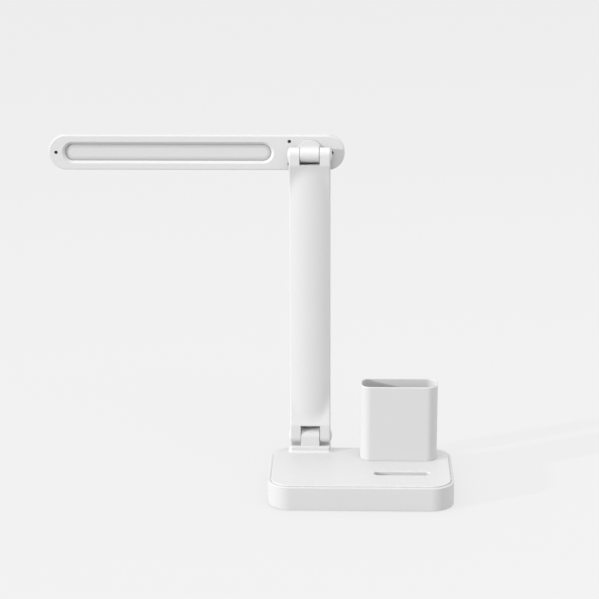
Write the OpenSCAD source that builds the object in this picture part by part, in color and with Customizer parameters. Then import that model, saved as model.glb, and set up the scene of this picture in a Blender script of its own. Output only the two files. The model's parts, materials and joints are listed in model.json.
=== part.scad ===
// Folding desk lamp: a weighted base with a pen cup and a phone groove, a
// flat arm on a friction hinge, and a light bar that tips and swivels.
// Millimetres. The origin is the middle of the footprint, on the desk.
// +X is to the right, +Y to the back and +Z up. Rest is the upright pose.

/* [Base] */
// Width of the base
base_w = 160; // [150:1:190]
// Depth of the base
base_d = 94; // [88:1:120]
// Height of the base's top cover above the desk
base_h = 22.4; // [21.4:0.1:30]
// Corner radius of the base, seen from above
base_corner_r = 20; // [12:1:28]
// Wall of the base housing
base_wall = 2.6; // [2:0.1:3.4]
// Rounding of the housing's top edge
base_edge_r = 0.7; // [0.4:0.1:1.4]
// Thickness of the inset top cover
cover_t = 2.6; // [2.2:0.1:3.2]
// How far the top cover stands above the housing's rim
cover_step = 1; // [0.6:0.1:1.2]
// Rounding of the top cover's edge
cover_edge_r = 0.5; // [0.2:0.1:0.8]
// Width of the ledge that carries the top cover
ledge_w = 2.2; // [1.5:0.1:3]
// Thickness of the bottom plate
bottom_t = 2.4; // [2:0.1:3]
// Radius of a rubber foot
foot_r = 5.5; // [4:0.5:7]
// How far the feet stand out under the plate
foot_gap = 0.8; // [0.5:0.1:1.5]
// Distance of the cover's screw bosses from the base's sides
boss_inset = 14; // [12:0.5:18]

/* [Phone groove] */
// Length of the groove
groove_l = 49; // [30:1:56]
// Width of the groove
groove_w = 7.6; // [5:0.1:10]
// Depth of the groove
groove_depth = 6.5; // [5:0.1:9]
// Wall around the groove
groove_wall = 1.6; // [1:0.1:2.5]
// Middle of the groove, to the right of the base's middle
groove_x = 35.6; // [28:0.1:40]
// Middle of the groove, in front of the base's middle
groove_front = 15.6; // [10:0.1:22]

/* [Pen cup] */
// Width of the cup
cup_w = 67.7; // [50:0.1:72]
// Depth of the cup, front to back
cup_d = 25.5; // [22:0.1:34]
// Height of the cup
cup_h = 68.3; // [45:0.1:90]
// Corner radius of the cup
cup_corner_r = 9.5; // [5:0.1:11]
// Wall of the cup
cup_wall = 1.8; // [1.4:0.1:2.6]
// Floor of the cup, which the cup's screws hold
cup_floor = 4.4; // [4:0.1:6]
// Middle of the cup, to the right of the base's middle
cup_x = 33.1; // [28:0.1:40]
// Gap between the cup and the base's back edge
cup_back_gap = 8.5; // [6:0.1:12]
// Distance between the cup's two screws
cup_screw_pitch = 36; // [24:1:40]

/* [Arm] */
// Width of the arm
arm_w = 35.5; // [32:0.1:40]
// How far the arm's front stands out from the hinge axes, at its middle
arm_front = 5; // [4.8:0.1:5.6]
// How far the arm's back stands out from the hinge axes, at its middle
arm_back = 4.2; // [4:0.1:5.2]
// Distance between the arm's two hinge axes
arm_l = 254.5; // [180:0.5:300]
// How far the arm's front bulges
front_bulge = 4.2; // [3:0.1:4.3]
// How far the arm's back bulges
back_bulge = 1; // [0.5:0.1:1.4]
// Wall of the arm's shells
arm_wall = 1.8; // [1.4:0.1:2]
// Length of the flare from the flat arm to its hinge ends
flare_l = 36; // [20:1:44]
// Distance of the lower fork's root from the base hinge
lower_root = 11; // [10.5:0.1:14]
// Distance of the upper fork's root from the head hinge
upper_root = 7.8; // [7.4:0.1:11]
// Distance of the wall at the back of the lower fork from the hinge axis
fork_back_y = 2.4; // [1.5:0.1:3]
// Height of that wall's foot above the hinge axis
fork_back_z = 4.2; // [3.6:0.1:4.8]
// Thickness of the steel strip in the arm
strip_t = 1.4; // [0.8:0.1:1.6]
// Width of the steel strip in the arm
strip_w = 16; // [10:1:18]
// Radius of the wire in the arm
wire_r = 0.9; // [0.6:0.05:0.95]

/* [Hinges] */
// Middle of the arm, to the left of the base's middle
hinge_left = 44.8; // [40:0.1:50]
// Distance of the base hinge axis from the base's back edge
hinge_back = 8; // [7.5:0.1:12]
// Height of the base hinge axis above the base's top
hinge_rise = 13.9; // [12.6:0.1:20]
// Radius of the hinge barrels
barrel_r = 6.5; // [6.2:0.1:7]
// Width of the hinge tongues
tongue_w = 16.4; // [14:0.1:18]
// Width of the pad under the base hinge
pad_w = 36; // [34:0.1:42]
// Height of the pad above the base's top
pad_h = 5.6; // [4:0.1:6.1]
// Depth of the pad from the base's back edge
pad_d = 15; // [14.6:0.1:20]
// Rounding of the pad's top edge
pad_edge_r = 1.2; // [0.6:0.1:1.8]
// Radius of the cove around the pad's foot
cove_r = 3.5; // [1:0.1:4]
// Radius of a hinge pin
pin_r = 2; // [1.8:0.1:2.4]
// Radius of the wire hole through a hinge pin
pin_bore_r = 1.1; // [0.8:0.1:1.2]
// Radius of the pockets in the fork's ears
pocket_r = 4.5; // [4.3:0.1:5]
// Depth of the pockets in the fork's ears
pocket_depth = 4.8; // [4.7:0.1:5.4]
// Radius of the caps over the pockets
cap_r = 5.3; // [5.2:0.1:6]
// How far the caps bulge out of the ears
cap_bulge = 1.5; // [0.8:0.1:2]

/* [Head] */
// Length of the light bar
head_l = 254.5; // [200:0.1:300]
// Height of the light bar
head_w = 30; // [29:0.1:36]
// Thickness of the light bar
head_t = 11.5; // [11.2:0.1:14]
// Distance of the swivel axis from the bar's near end
near_end = 29.8; // [27:0.1:34]
// Thickness of the bar's face plate
face_t = 2.2; // [2:0.1:2.6]
// Depth of the face's rim behind its front
face_depth = 3.4; // [3:0.1:4]
// Wall of the bar's back cover
head_wall = 1.6; // [1.2:0.1:2]
// Rounding of the face's edge
face_edge_r = 2.4; // [1:0.1:2.8]
// Rounding of the back cover's edge
back_edge_r = 3; // [2:0.1:4]

/* [Light window] */
// Length of the window with its bevel
window_l = 181.6; // [120:0.1:182]
// Height of the window with its bevel
window_w = 18.5; // [14:0.1:20]
// Width of the bevel around the window
window_bevel = 1.9; // [1:0.1:2]
// Distance of the window from the swivel axis
window_near = 31.1; // [29:0.1:40]
// Thickness of the diffuser
diffuser_t = 1.6; // [1:0.1:2]
// Number of light chips
chip_count = 24; // [8:1:32]

/* [Swivel] */
// Radius of the swivel flange
flange_r = 11.5; // [11:0.1:13]
// Thickness of the swivel flange
flange_t = 2; // [1.6:0.1:2.6]
// Depth of the flange's seat in the face
flange_seat = 1.1; // [0.6:0.1:1.3]
// Radius of the hollow swivel stem
stem_r = 6; // [5.6:0.1:6.4]
// Radius of the wire hole in the stem
stem_bore_r = 2; // [1.5:0.1:2.2]
// Thickness of the face's boss around the stem
swivel_boss_t = 3; // [2.4:0.1:3.2]

/* [Base internals] */
// Width of the steel counterweight
weight_w = 84; // [60:1:86]
// Depth of the steel counterweight
weight_d = 48; // [36:1:50]
// Thickness of the steel counterweight
weight_t = 7; // [4:0.1:8]
// Width of the battery
battery_w = 30; // [24:1:30]
// Depth of the battery
battery_d = 56; // [40:1:58]
// Thickness of the battery
battery_t = 7.4; // [5:0.1:7.8]
// Width of the control board
board_w = 48; // [36:1:50]
// Depth of the control board
board_d = 27; // [22:1:28]
// Thickness of the control board
board_t = 1.6; // [1:0.1:1.6]
// Height of the board's posts
post_h = 4.4; // [3.8:0.1:5]
// Width of the charging socket
socket_w = 9; // [8:0.1:10]
// Height of the charging socket
socket_h = 3.2; // [2.6:0.1:3.6]

/* [Fits] */
// Gap at a fixed seam
seam = 0.2; // [0.1:0.05:0.3]
// Gap between moving faces
clearance = 0.4; // [0.3:0.05:0.6]
// Radial gap of a pin in its bore
running_fit = 0.05; // [0.02:0.01:0.08]
// Radial gap around a screw in its hole
screw_fit = 0.05; // [0.03:0.01:0.1]

/* [Hidden] */
$fn = 64;
eps = 0.01;
cut = 1;

// Base heights
plate_z = foot_gap;
plate_top = plate_z + bottom_t;
cover_z = base_h - cover_t;
rim_z = base_h - cover_step;
ledge_h = 2;
lip_w = 1.4;
foot_seat = 1;
port_gap = 0.3;
port_recess = 1;

// Screws: shank radius, head radius, head height
big_screw = [1.5, 2.8, 1.3];
small_screw = [1, 1.9, 1];
tiny_screw = [0.8, 1.4, 1.3];
boss_wall = 2;
small_boss_wall = 1.4;
tip_gap = 2.6;
pillar_top = 5.6;
pillar_hole_l = cover_z - plate_top - pillar_top;
cup_screw_top = 1.6;
cup_screw_l = cover_t + cup_floor - cup_screw_top;
big_boss_r = big_screw[0] + boss_wall;

// Places in the base
boss_x = base_w / 2 - boss_inset;
boss_back_step = 2;
boss_y = base_d / 2 - boss_inset - boss_back_step;
foot_from_boss = [-13, 2.5];
foot_x = boss_x + foot_from_boss[0];
foot_y = boss_y + foot_from_boss[1];
cup_y = base_d / 2 - cup_back_gap - cup_d / 2;
groove_y = -groove_front;
weight_x = -19;
weight_front_gap = 5.5;
weight_y = -base_d / 2 + weight_front_gap + weight_d / 2;
weight_corner_r = 4;
weight_screw_inset = 7;
weight_hole_floor = 1;
pillar_gap = 1;
battery_side_gap = 2.5;
battery_x = boss_x - big_boss_r - battery_side_gap - battery_w / 2;
battery_y = -2.5;
board_x = 0;
board_back_gap = 4.5;
board_y = base_d / 2 - board_back_gap - board_d / 2;
board_z = plate_top + post_h;
post_r = 2.6;
post_inset = [4, 3.5];
socket_l = 7.4;
touch_inset = [32, 25];
touch_r = 9;
touch_t = 0.6;
strap_w = 9;
strap_t = 1.4;
strap_post_gap = 0.4;
strap_post_dx = battery_w / 2 + strap_post_gap + post_r;
strap_offset = 15;
strap_y = battery_y + strap_offset;
lead_r = 0.8;
lead_inset = 6;

// What stands on the board, each [x, y, width, depth, height]: a coil, a
// driver, a regulator, a diode, the battery's connector and a capacitor
board_parts = [
    [-12, -4, 7, 7, 3.4],
    [-2, -6, 5, 5, 1.2],
    [8, -5, 6, 4, 1.6],
    [-9, 6, 4, 3, 1.4],
    [14, 3, 4, 8, 2.2],
    [-20, -3, 3, 7, 4]
];
connector = board_parts[4];

// Hinges, in the part's frame
hinge_x = -hinge_left;
hinge_y = base_d / 2 - hinge_back;
hinge_z = base_h + hinge_rise;
head_z = hinge_z + arm_l;
washer_play = 0.1;
washer_t = clearance - washer_play;
washer_inset = 1;
ear_in = tongue_w / 2 + clearance;
pocket_floor = arm_w / 2 - pocket_depth;
pin_head_lip = 1.6;
pin_head_r = pin_r + pin_head_lip;
pin_head_t = 1.6;
spring_t = 0.45;
spring_play = 0.4;
nut_t = 1.9;
nut_gap = 0.05;
nut_lip = 1.7;
nut_r = pin_r + nut_lip;
plug_t = 1;
wire_x = -(pocket_floor + seam);
wire_y = 0.6;
wire_hole_gap = 0.3;
wire_hole_r = wire_r + wire_hole_gap;
wire_end_gap = 0.5;

// Arm
front_arc_r = (pow(arm_w / 2, 2) + pow(front_bulge, 2)) / (2 * front_bulge);
back_arc_r = (pow(arm_w / 2, 2) + pow(back_bulge, 2)) / (2 * back_bulge);
flare_sink = 0.06;
flare_start = 0.5;
front_rise = barrel_r - arm_front + front_bulge + flare_sink;
back_rise = barrel_r - arm_back + back_bulge + flare_sink;
split_y = 2;
arm_cover_gap = 6;
arm_cover_lo = lower_root + flare_l + arm_cover_gap;
arm_cover_hi = arm_l - upper_root - flare_l - arm_cover_gap;
fork_root_t = 4;
cavity_lo = lower_root + fork_root_t;
cavity_hi = arm_l - upper_root - fork_root_t;
arm_screw_x = -8.5;
arm_screw_count = 4;
arm_screw_end = 12;
arm_head_y = arm_back - small_screw[2] + seam;
arm_tip_gap = 0.6;
strip_x = 4.4;
strip_y = -0.6;
strip_end_gap = 2;

// Head, measured from the swivel axis and the head hinge axis
flange_y = barrel_r + clearance;
stem_y = flange_y + flange_t;
face_y = stem_y + seam / 2 - flange_seat;
cover_y = face_y + face_depth;
head_back = face_y + head_t;
far_end = head_l - near_end;
head_r = head_w / 2;
boss_back = face_y + flange_seat + swivel_boss_t;
spring_gap = 0.7;
swivel_spring_t = 0.5;
retainer_y = boss_back + spring_gap;
retainer_t = 1.2;
retainer_r = 9.5;
swivel_rim = 0.5;
swivel_screw_r = 4;
swivel_screw_l = 4;
swivel_hole_start = 1;
window_far = window_near + window_l;
window_r = window_w / 2;
pane_r = window_r - window_bevel;
pane_lip = 1.6;
diffuser_y = face_y + face_t;
tray_y = diffuser_y + diffuser_t;
tray_r = pane_r + pane_lip;
tray_wall = 1.1;
tray_rib_h = 1.4;
tray_floor_y = head_back - head_wall - tray_rib_h - tray_wall;
led_board_t = 1.2;
led_board_w = 9;
chip_w = 3.5;
chip_h = 2.8;
chip_t = 0.8;
face_well_r = 1.5;
face_boss_r = 2.6;
face_boss_rise = 1.8;
face_boss_back = cover_y + face_boss_rise;
well_floor = 1.2;
screw_head_y = face_boss_back - well_floor;
head_tip_gap = 0.4;
head_wire_r = 0.8;

// The face's screws, from the swivel axis: three around the swivel and one
// near the far end
far_screw_end = 6.5;
face_screws = [
    [-17.5, 9.8],
    [-17.5, -9.8],
    [18.8, 0],
    [-(far_end - far_screw_end), 0]
];

housing_colour = [0.93, 0.93, 0.93];
cover_colour = [0.95, 0.95, 0.95];
steel_colour = [0.62, 0.63, 0.65];
dark_colour = [0.2, 0.2, 0.21];

// ---- shared shapes ----

// Rectangle with round corners, centred
module round_rect(w, d, r) {
    square([w - 2 * r, d], center = true);
    square([w, d - 2 * r], center = true);
    for (sx = [-1, 1])
        for (sy = [-1, 1])
            translate([sx * (w / 2 - r), sy * (d / 2 - r)])
                circle(r);
}

// Cross-section of a slab's edge: from x = 0 to x = r, the outer top corner
// rounded by e
module edge_profile(r, h, e) {
    square([r, h - e]);
    square([r - e, h]);
    intersection() {
        translate([r - e, h - e])
            circle(e);
        square([r, h]);
    }
}

// Slab with round corners r and a top edge rounded by e
module soft_slab(w, d, r, h, e) {
    for (sx = [-1, 1])
        for (sy = [-1, 1])
            translate([sx * (w / 2 - r), sy * (d / 2 - r), 0])
                rotate_extrude()
                    edge_profile(r, h, e);
    for (side = [0, 180])
        rotate([0, 0, side]) {
            translate([w / 2 - r, d / 2 - r, 0])
                rotate([90, 0, 0])
                    linear_extrude(d - 2 * r)
                        edge_profile(r, h, e);
            translate([-(w / 2 - r), d / 2 - r, 0])
                rotate([90, 0, 90])
                    linear_extrude(w - 2 * r)
                        edge_profile(r, h, e);
        }
    translate([-(w / 2 - r), -(d / 2 - r), 0])
        cube([w - 2 * r, d - 2 * r, h]);
}

// Long outline with round ends, from x0 to x1, of half-width r
module stadium(x0, x1, r) {
    translate([x0 + r, -r])
        square([x1 - x0 - 2 * r, 2 * r]);
    for (x = [x0 + r, x1 - r])
        translate([x, 0])
            circle(r);
}

// A flat outline in x and z, raised along +Y from y by h
module along_y(y, h) {
    translate([0, y, 0])
        rotate([-90, 0, 0])
            linear_extrude(h)
                mirror([0, 1, 0])
                    children();
}

// Stadium bar along x, h thick in +Y, its edge at the high end rounded by e
module soft_bar(x0, x1, r, h, e) {
    rotate([-90, 0, 0]) {
        for (x = [x0 + r, x1 - r])
            translate([x, 0, 0])
                rotate_extrude()
                    edge_profile(r, h, e);
        for (side = [0, 180])
            rotate([0, 0, side])
                translate([side == 0 ? x0 + r : -(x1 - r), 0, 0])
                    rotate([90, 0, 90])
                        linear_extrude(x1 - x0 - 2 * r)
                            edge_profile(r, h, e);
    }
}

// Cylinder along +Y from y
module rod_y(y, r, h) {
    translate([0, y, 0])
        rotate([-90, 0, 0])
            cylinder(h = h, r = r);
}

// Cylinder along +X from x
module rod_x(x, r, h) {
    translate([x, 0, 0])
        rotate([0, 90, 0])
            cylinder(h = h, r = r);
}

// Screw with its shank down from z = 0 and its head above; size is
// [shank radius, head radius, head height]
module screw(size, length) {
    recess_w = size[0] * 0.5;
    difference() {
        union() {
            cylinder(h = size[2], r = size[1]);
            translate([0, 0, -length])
                cylinder(h = length + eps, r = size[0]);
        }
        for (turn = [0, 90])
            rotate([0, 0, turn])
                translate([-size[1] * 0.6, -recess_w / 2, size[2] * 0.4])
                    cube([size[1] * 1.2, recess_w, size[2]]);
    }
}

module base_pillar_places() {
    for (sx = [-1, 1])
        for (sy = [-1, 1])
            translate([sx * boss_x, sy * boss_y, 0])
                children();
}

module cup_screw_places() {
    for (side = [-1, 1])
        translate([cup_x + side * cup_screw_pitch / 2, cup_y, 0])
            children();
}

module post_places() {
    for (sx = [-1, 1])
        for (sy = [-1, 1])
            translate([board_x + sx * (board_w / 2 - post_inset[0]),
                board_y + sy * (board_d / 2 - post_inset[1]), 0])
                children();
}

module weight_screw_places() {
    for (side = [-1, 1])
        translate([weight_x + side * (weight_w / 2 - weight_screw_inset), weight_y, 0])
            children();
}

module strap_screw_places() {
    for (side = [-1, 1])
        translate([battery_x + side * strap_post_dx, strap_y, 0])
            children();
}

// ---- base ----

// Outer wall with the ledge for the top cover and the seat for the bottom
module base_housing() {
    color(housing_colour)
        difference() {
            translate([0, 0, plate_z])
                soft_slab(base_w, base_d, base_corner_r, rim_z - plate_z, base_edge_r);
            translate([0, 0, cover_z])
                linear_extrude(cover_t + cut)
                    round_rect(base_w - 2 * base_wall, base_d - 2 * base_wall,
                        base_corner_r - base_wall);
            translate([0, 0, cover_z - ledge_h - cut])
                linear_extrude(ledge_h + 2 * cut)
                    round_rect(base_w - 2 * (base_wall + ledge_w),
                        base_d - 2 * (base_wall + ledge_w),
                        base_corner_r - base_wall - ledge_w);
            translate([0, 0, plate_top - cut])
                linear_extrude(cover_z - ledge_h - plate_top + cut)
                    round_rect(base_w - 2 * base_wall, base_d - 2 * base_wall,
                        base_corner_r - base_wall);
            translate([0, 0, plate_z - cut])
                linear_extrude(bottom_t + cut)
                    round_rect(base_w - 2 * lip_w, base_d - 2 * lip_w,
                        base_corner_r - lip_w);
            translate([hinge_x - pad_w / 2 - seam, base_d / 2 - base_wall - cut, cover_z])
                cube([pad_w + 2 * seam, base_wall + 2 * cut, cover_t + cut]);
            charging_port();
        }
}

// Opening for the charging socket in the back wall
module charging_port() {
    port_w = socket_w + 2 * port_gap;
    port_h = socket_h + 2 * port_gap;
    translate([board_x, 0, board_z + board_t + socket_h / 2])
        along_y(base_d / 2 - base_wall - cut, base_wall + 2 * cut)
            stadium(-port_w / 2, port_w / 2, port_h / 2);
}

// Concave skirt of radius r around the front and sides of a block w wide,
// with corners of radius corner, whose front face is at y = 0 and whose back
// is at y = d
module cove_skirt(w, d, corner, r) {
    for (side = [0, 1])
        mirror([side, 0, 0]) {
            translate([w / 2 - corner, d, 0])
                rotate([90, 0, 0])
                    linear_extrude(d - corner)
                        cove_section(corner, r);
            translate([w / 2 - corner, corner, 0])
                rotate_extrude()
                    cove_section(corner, r);
        }
    translate([-w / 2 + corner, corner, 0])
        rotate([90, 0, 90])
            linear_extrude(w - 2 * corner)
                mirror([1, 0])
                    cove_section(corner, r);
}

// From x = 0 to the block's side at x = corner and down the concave curve
module cove_section(corner, r) {
    square([corner, r]);
    translate([corner, 0])
        difference() {
            square(r);
            translate([r, r])
                circle(r);
        }
}

// Inset cover with the hinge pad and tongue, the phone groove and the bosses
module base_top_cover() {
    inset = base_wall + seam;
    color(cover_colour)
        difference() {
            union() {
                translate([0, 0, cover_z])
                    soft_slab(base_w - 2 * inset, base_d - 2 * inset,
                        base_corner_r - inset, cover_t, cover_edge_r);
                hinge_pad();
                translate([groove_x, groove_y, base_h - groove_depth - groove_wall])
                    linear_extrude(groove_depth)
                        stadium(-groove_l / 2 - groove_wall, groove_l / 2 + groove_wall,
                            groove_w / 2 + groove_wall);
                base_pillar_places()
                    translate([0, 0, plate_top])
                        cylinder(h = cover_z - plate_top + eps, r = big_boss_r);
            }
            translate([groove_x, groove_y, base_h - groove_depth])
                linear_extrude(groove_depth + cut)
                    stadium(-groove_l / 2, groove_l / 2, groove_w / 2);
            base_pillar_places()
                translate([0, 0, plate_top - cut])
                    cylinder(h = pillar_hole_l + cut, r = big_screw[0] + screw_fit);
            cup_screw_places()
                translate([0, 0, cover_z - cut])
                    cylinder(h = cover_t + 2 * cut, r = big_screw[0] + screw_fit);
            translate([hinge_x, hinge_y, hinge_z])
                rod_x(-tongue_w / 2 - cut, pin_r + running_fit, tongue_w + 2 * cut);
            translate([hinge_x, hinge_y, cover_z - cut])
                cylinder(h = hinge_z - cover_z + cut, r = pin_bore_r);
        }
}

// Pad at the back edge with its coved foot, and the tongue that stands on it
module hinge_pad() {
    pad_corner = 2;
    pad_y = base_d / 2 - pad_d;
    skirt_d = pad_d - base_wall - seam - 2 * cover_edge_r;
    translate([hinge_x, base_d / 2 - pad_d / 2, cover_z])
        soft_slab(pad_w, pad_d, pad_corner, pad_h + cover_t, pad_edge_r);
    translate([hinge_x, pad_y, base_h - eps])
        cove_skirt(pad_w, skirt_d, pad_corner, cove_r);
    translate([hinge_x - tongue_w / 2, hinge_y - barrel_r, base_h])
        cube([tongue_w, 2 * barrel_r, hinge_rise]);
    translate([hinge_x, hinge_y, hinge_z])
        rod_x(-tongue_w / 2, barrel_r, tongue_w);
}

// Flat plate that closes the base, with the board's posts
module base_bottom_plate() {
    inset = lip_w + seam;
    color(housing_colour)
        difference() {
            union() {
                translate([0, 0, plate_z])
                    linear_extrude(bottom_t)
                        round_rect(base_w - 2 * inset, base_d - 2 * inset,
                            base_corner_r - inset);
                post_places()
                    translate([0, 0, plate_top - eps])
                        cylinder(h = post_h + eps, r = post_r);
                strap_screw_places()
                    translate([0, 0, plate_top - eps])
                        cylinder(h = battery_t + seam + eps, r = post_r);
            }
            base_pillar_places() {
                translate([0, 0, plate_z - cut])
                    cylinder(h = bottom_t + 2 * cut, r = big_screw[0] + seam);
                translate([0, 0, plate_z - cut])
                    cylinder(h = big_screw[2] + cut, r = big_screw[1] + seam);
            }
            foot_places()
                translate([0, 0, plate_z - cut])
                    cylinder(h = foot_seat + cut, r = foot_r + screw_fit);
            post_places()
                translate([0, 0, plate_top])
                    cylinder(h = post_h + cut, r = small_screw[0] + screw_fit);
            strap_screw_places()
                translate([0, 0, plate_top])
                    cylinder(h = battery_t + cut, r = small_screw[0] + screw_fit);
            weight_screw_places()
                translate([0, 0, plate_z + weight_hole_floor])
                    cylinder(h = bottom_t, r = small_screw[0] + screw_fit);
        }
}

// One foot near each corner and one at the middle, on the origin
module foot_places() {
    children();
    for (sx = [-1, 1])
        for (sy = [-1, 1])
            translate([sx * foot_x, sy * foot_y, 0])
                children();
}

module base_screws() {
    head_z0 = plate_z + big_screw[2];
    color(steel_colour)
        base_pillar_places()
            translate([0, 0, head_z0])
                mirror([0, 0, 1])
                    screw(big_screw, plate_top + pillar_hole_l - tip_gap - head_z0);
}

module rubber_feet() {
    color([0.75, 0.75, 0.75])
        foot_places()
            rotate([180, 0, 0])
                translate([0, 0, -foot_gap - foot_seat])
                    rotate_extrude()
                        edge_profile(foot_r, foot_gap + foot_seat, foot_gap / 2);
}

// Steel plate on the bottom plate, notched where it would meet a pillar
module counterweight() {
    color(steel_colour)
        difference() {
            translate([weight_x, weight_y, plate_top])
                linear_extrude(weight_t)
                    round_rect(weight_w, weight_d, weight_corner_r);
            weight_screw_places()
                translate([0, 0, plate_top - cut])
                    cylinder(h = weight_t + 2 * cut, r = small_screw[0] + seam);
            base_pillar_places()
                translate([0, 0, plate_top - cut])
                    cylinder(h = weight_t + 2 * cut, r = big_boss_r + pillar_gap);
        }
}

module counterweight_screws() {
    color(steel_colour)
        weight_screw_places()
            translate([0, 0, plate_top + weight_t])
                screw(small_screw, weight_t + bottom_t - weight_hole_floor - seam);
}

// Flat rechargeable cell with round long edges
module battery() {
    cell_r = battery_t / 2;
    color([0.35, 0.42, 0.5])
        translate([battery_x, battery_y, plate_top])
            rotate([90, 0, 0])
                translate([0, cell_r, -battery_d / 2])
                    linear_extrude(battery_d)
                        stadium(-battery_w / 2, battery_w / 2, cell_r);
}

// Strap over the cell, screwed to two posts
module battery_strap() {
    strap_l = 2 * (strap_post_dx + post_r);
    color(dark_colour)
        difference() {
            translate([battery_x - strap_l / 2, strap_y - strap_w / 2,
                plate_top + battery_t + seam])
                cube([strap_l, strap_w, strap_t]);
            strap_screw_places()
                translate([0, 0, plate_top])
                    cylinder(h = battery_t + strap_t + cut, r = small_screw[0] + seam);
        }
}

module strap_screws() {
    color(steel_colour)
        strap_screw_places()
            translate([0, 0, plate_top + battery_t + seam + strap_t])
                screw(small_screw, strap_t + battery_t - tip_gap);
}

module control_board() {
    color([0.1, 0.4, 0.25])
        difference() {
            translate([board_x - board_w / 2, board_y - board_d / 2, board_z])
                cube([board_w, board_d, board_t]);
            post_places()
                translate([0, 0, board_z - cut])
                    cylinder(h = board_t + 2 * cut, r = small_screw[0] + seam);
        }
}

module board_components() {
    color(dark_colour)
        for (p = board_parts)
            translate([board_x + p[0] - p[2] / 2, board_y + p[1] - p[3] / 2,
                board_z + board_t])
                cube([p[2], p[3], p[4]]);
}

module board_screws() {
    color(steel_colour)
        post_places()
            translate([0, 0, board_z + board_t])
                screw(small_screw, post_h);
}

// Metal shell of the charging socket, open to the back
module charging_socket() {
    shell_t = 0.4;
    end_wall = 1;
    blade_t = 0.7;
    blade_side = 1.6;
    blade_recess = 1;
    socket_back = base_d / 2 - port_recess;
    color(steel_colour)
        translate([board_x, 0, board_z + board_t + socket_h / 2]) {
            difference() {
                along_y(socket_back - socket_l, socket_l)
                    stadium(-socket_w / 2, socket_w / 2, socket_h / 2);
                along_y(socket_back - socket_l + end_wall, socket_l)
                    stadium(-socket_w / 2 + shell_t, socket_w / 2 - shell_t,
                        socket_h / 2 - shell_t);
            }
            translate([-socket_w / 2 + blade_side, socket_back - socket_l + end_wall / 2,
                -blade_t / 2])
                cube([socket_w - 2 * blade_side, socket_l - end_wall / 2 - blade_recess,
                    blade_t]);
        }
}

// Touch switch: a foil disc against the cover's underside
module touch_sensor() {
    color([0.75, 0.5, 0.3])
        translate([-base_w / 2 + touch_inset[0], -base_d / 2 + touch_inset[1],
            cover_z - touch_t])
            cylinder(h = touch_t, r = touch_r);
}

// Lead from the board's connector to the battery's back end
module battery_lead() {
    lead_y = board_y + connector[1];
    start_x = board_x + connector[0] + connector[2] / 2 + seam;
    turn_x = battery_x - battery_w / 2 + lead_inset;
    end_y = battery_y + battery_d / 2 + seam;
    color([0.6, 0.1, 0.1])
        translate([0, 0, board_z + board_t + lead_r + eps]) {
            translate([0, lead_y, 0])
                rod_x(start_x, lead_r, turn_x - start_x);
            translate([turn_x, 0, 0])
                rod_y(end_y, lead_r, lead_y + lead_r - end_y);
        }
}

// Cup with round corners, open at the top
module pen_cup() {
    color(cover_colour)
        difference() {
            translate([cup_x, cup_y, base_h])
                linear_extrude(cup_h)
                    round_rect(cup_w, cup_d, cup_corner_r);
            translate([cup_x, cup_y, base_h + cup_floor])
                linear_extrude(cup_h)
                    round_rect(cup_w - 2 * cup_wall, cup_d - 2 * cup_wall,
                        cup_corner_r - cup_wall);
            cup_screw_places()
                translate([0, 0, base_h - cut])
                    cylinder(h = cup_screw_l - cover_t + seam + cut,
                        r = big_screw[0] + screw_fit);
        }
}

module pen_cup_screws() {
    color(steel_colour)
        cup_screw_places()
            translate([0, 0, cover_z])
                mirror([0, 0, 1])
                    screw(big_screw, cup_screw_l);
}

// ---- arm, drawn around the base hinge axis with the arm along +Z ----

module at_arm() {
    translate([hinge_x, hinge_y, hinge_z])
        children();
}

// The arm's oval section, drawn in by inset, running on past its sides
module arm_lens(inset) {
    intersection() {
        translate([0, front_arc_r - arm_front])
            circle(front_arc_r - inset, $fn = 128);
        translate([0, arm_back - back_arc_r])
            circle(back_arc_r - inset, $fn = 128);
    }
}

// The same section, cut off at the arm's sides
module arm_section(inset) {
    intersection() {
        square([arm_w - 2 * inset, 2 * barrel_r], center = true);
        arm_lens(inset);
    }
}

// Circle of the concave sweep that brings the flare from the barrel's
// thickness just past the root down by rise at its end
module flare_sweep(root, rise) {
    sweep_l = flare_l - flare_start;
    sweep_r = (pow(sweep_l, 2) + pow(rise, 2)) / (2 * rise);
    translate([barrel_r - rise + sweep_r, root + flare_l])
        circle(sweep_r, $fn = 128);
}

// Side view of one end, y to the right and z up from the hinge axis: the
// barrel, the fork up to its root, and the flare
module fork_side(root) {
    circle(barrel_r);
    difference() {
        translate([-barrel_r, 0])
            square([2 * barrel_r, root + flare_l]);
        flare_sweep(root, back_rise);
        mirror([1, 0])
            flare_sweep(root, front_rise);
    }
}

// One end, wider than the arm
module fork_block(root) {
    translate([-arm_w, 0, 0])
        rotate([90, 0, 90])
            linear_extrude(2 * arm_w)
                fork_side(root);
}

// Space for the tongue between the ears
module fork_slot(root) {
    translate([-ear_in, -arm_w / 2, -barrel_r - cut])
        cube([2 * ear_in, arm_w, root + barrel_r + cut]);
}

// Wall that closes the lower fork's slot at the back, clear of the tongue's round top
module fork_back() {
    difference() {
        translate([-ear_in - cut, fork_back_y, fork_back_z])
            cube([2 * (ear_in + cut), arm_w, lower_root]);
        rod_x(-ear_in - 2 * cut, barrel_r + clearance, 2 * ear_in + 4 * cut);
    }
}

// The whole arm's outer form
module arm_form() {
    difference() {
        intersection() {
            union() {
                linear_extrude(arm_l)
                    arm_lens(0);
                fork_block(lower_root);
                translate([0, 0, arm_l])
                    mirror([0, 0, 1])
                        fork_block(upper_root);
            }
            translate([-arm_w / 2, -arm_w / 2, -arm_w])
                cube([arm_w, arm_w, arm_l + 2 * arm_w]);
        }
        difference() {
            fork_slot(lower_root);
            fork_back();
        }
        translate([0, 0, arm_l])
            mirror([0, 0, 1])
                fork_slot(upper_root);
    }
}

// Space inside the arm
module arm_cavity() {
    translate([0, 0, cavity_lo])
        linear_extrude(cavity_hi - cavity_lo)
            arm_section(arm_wall);
}

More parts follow.
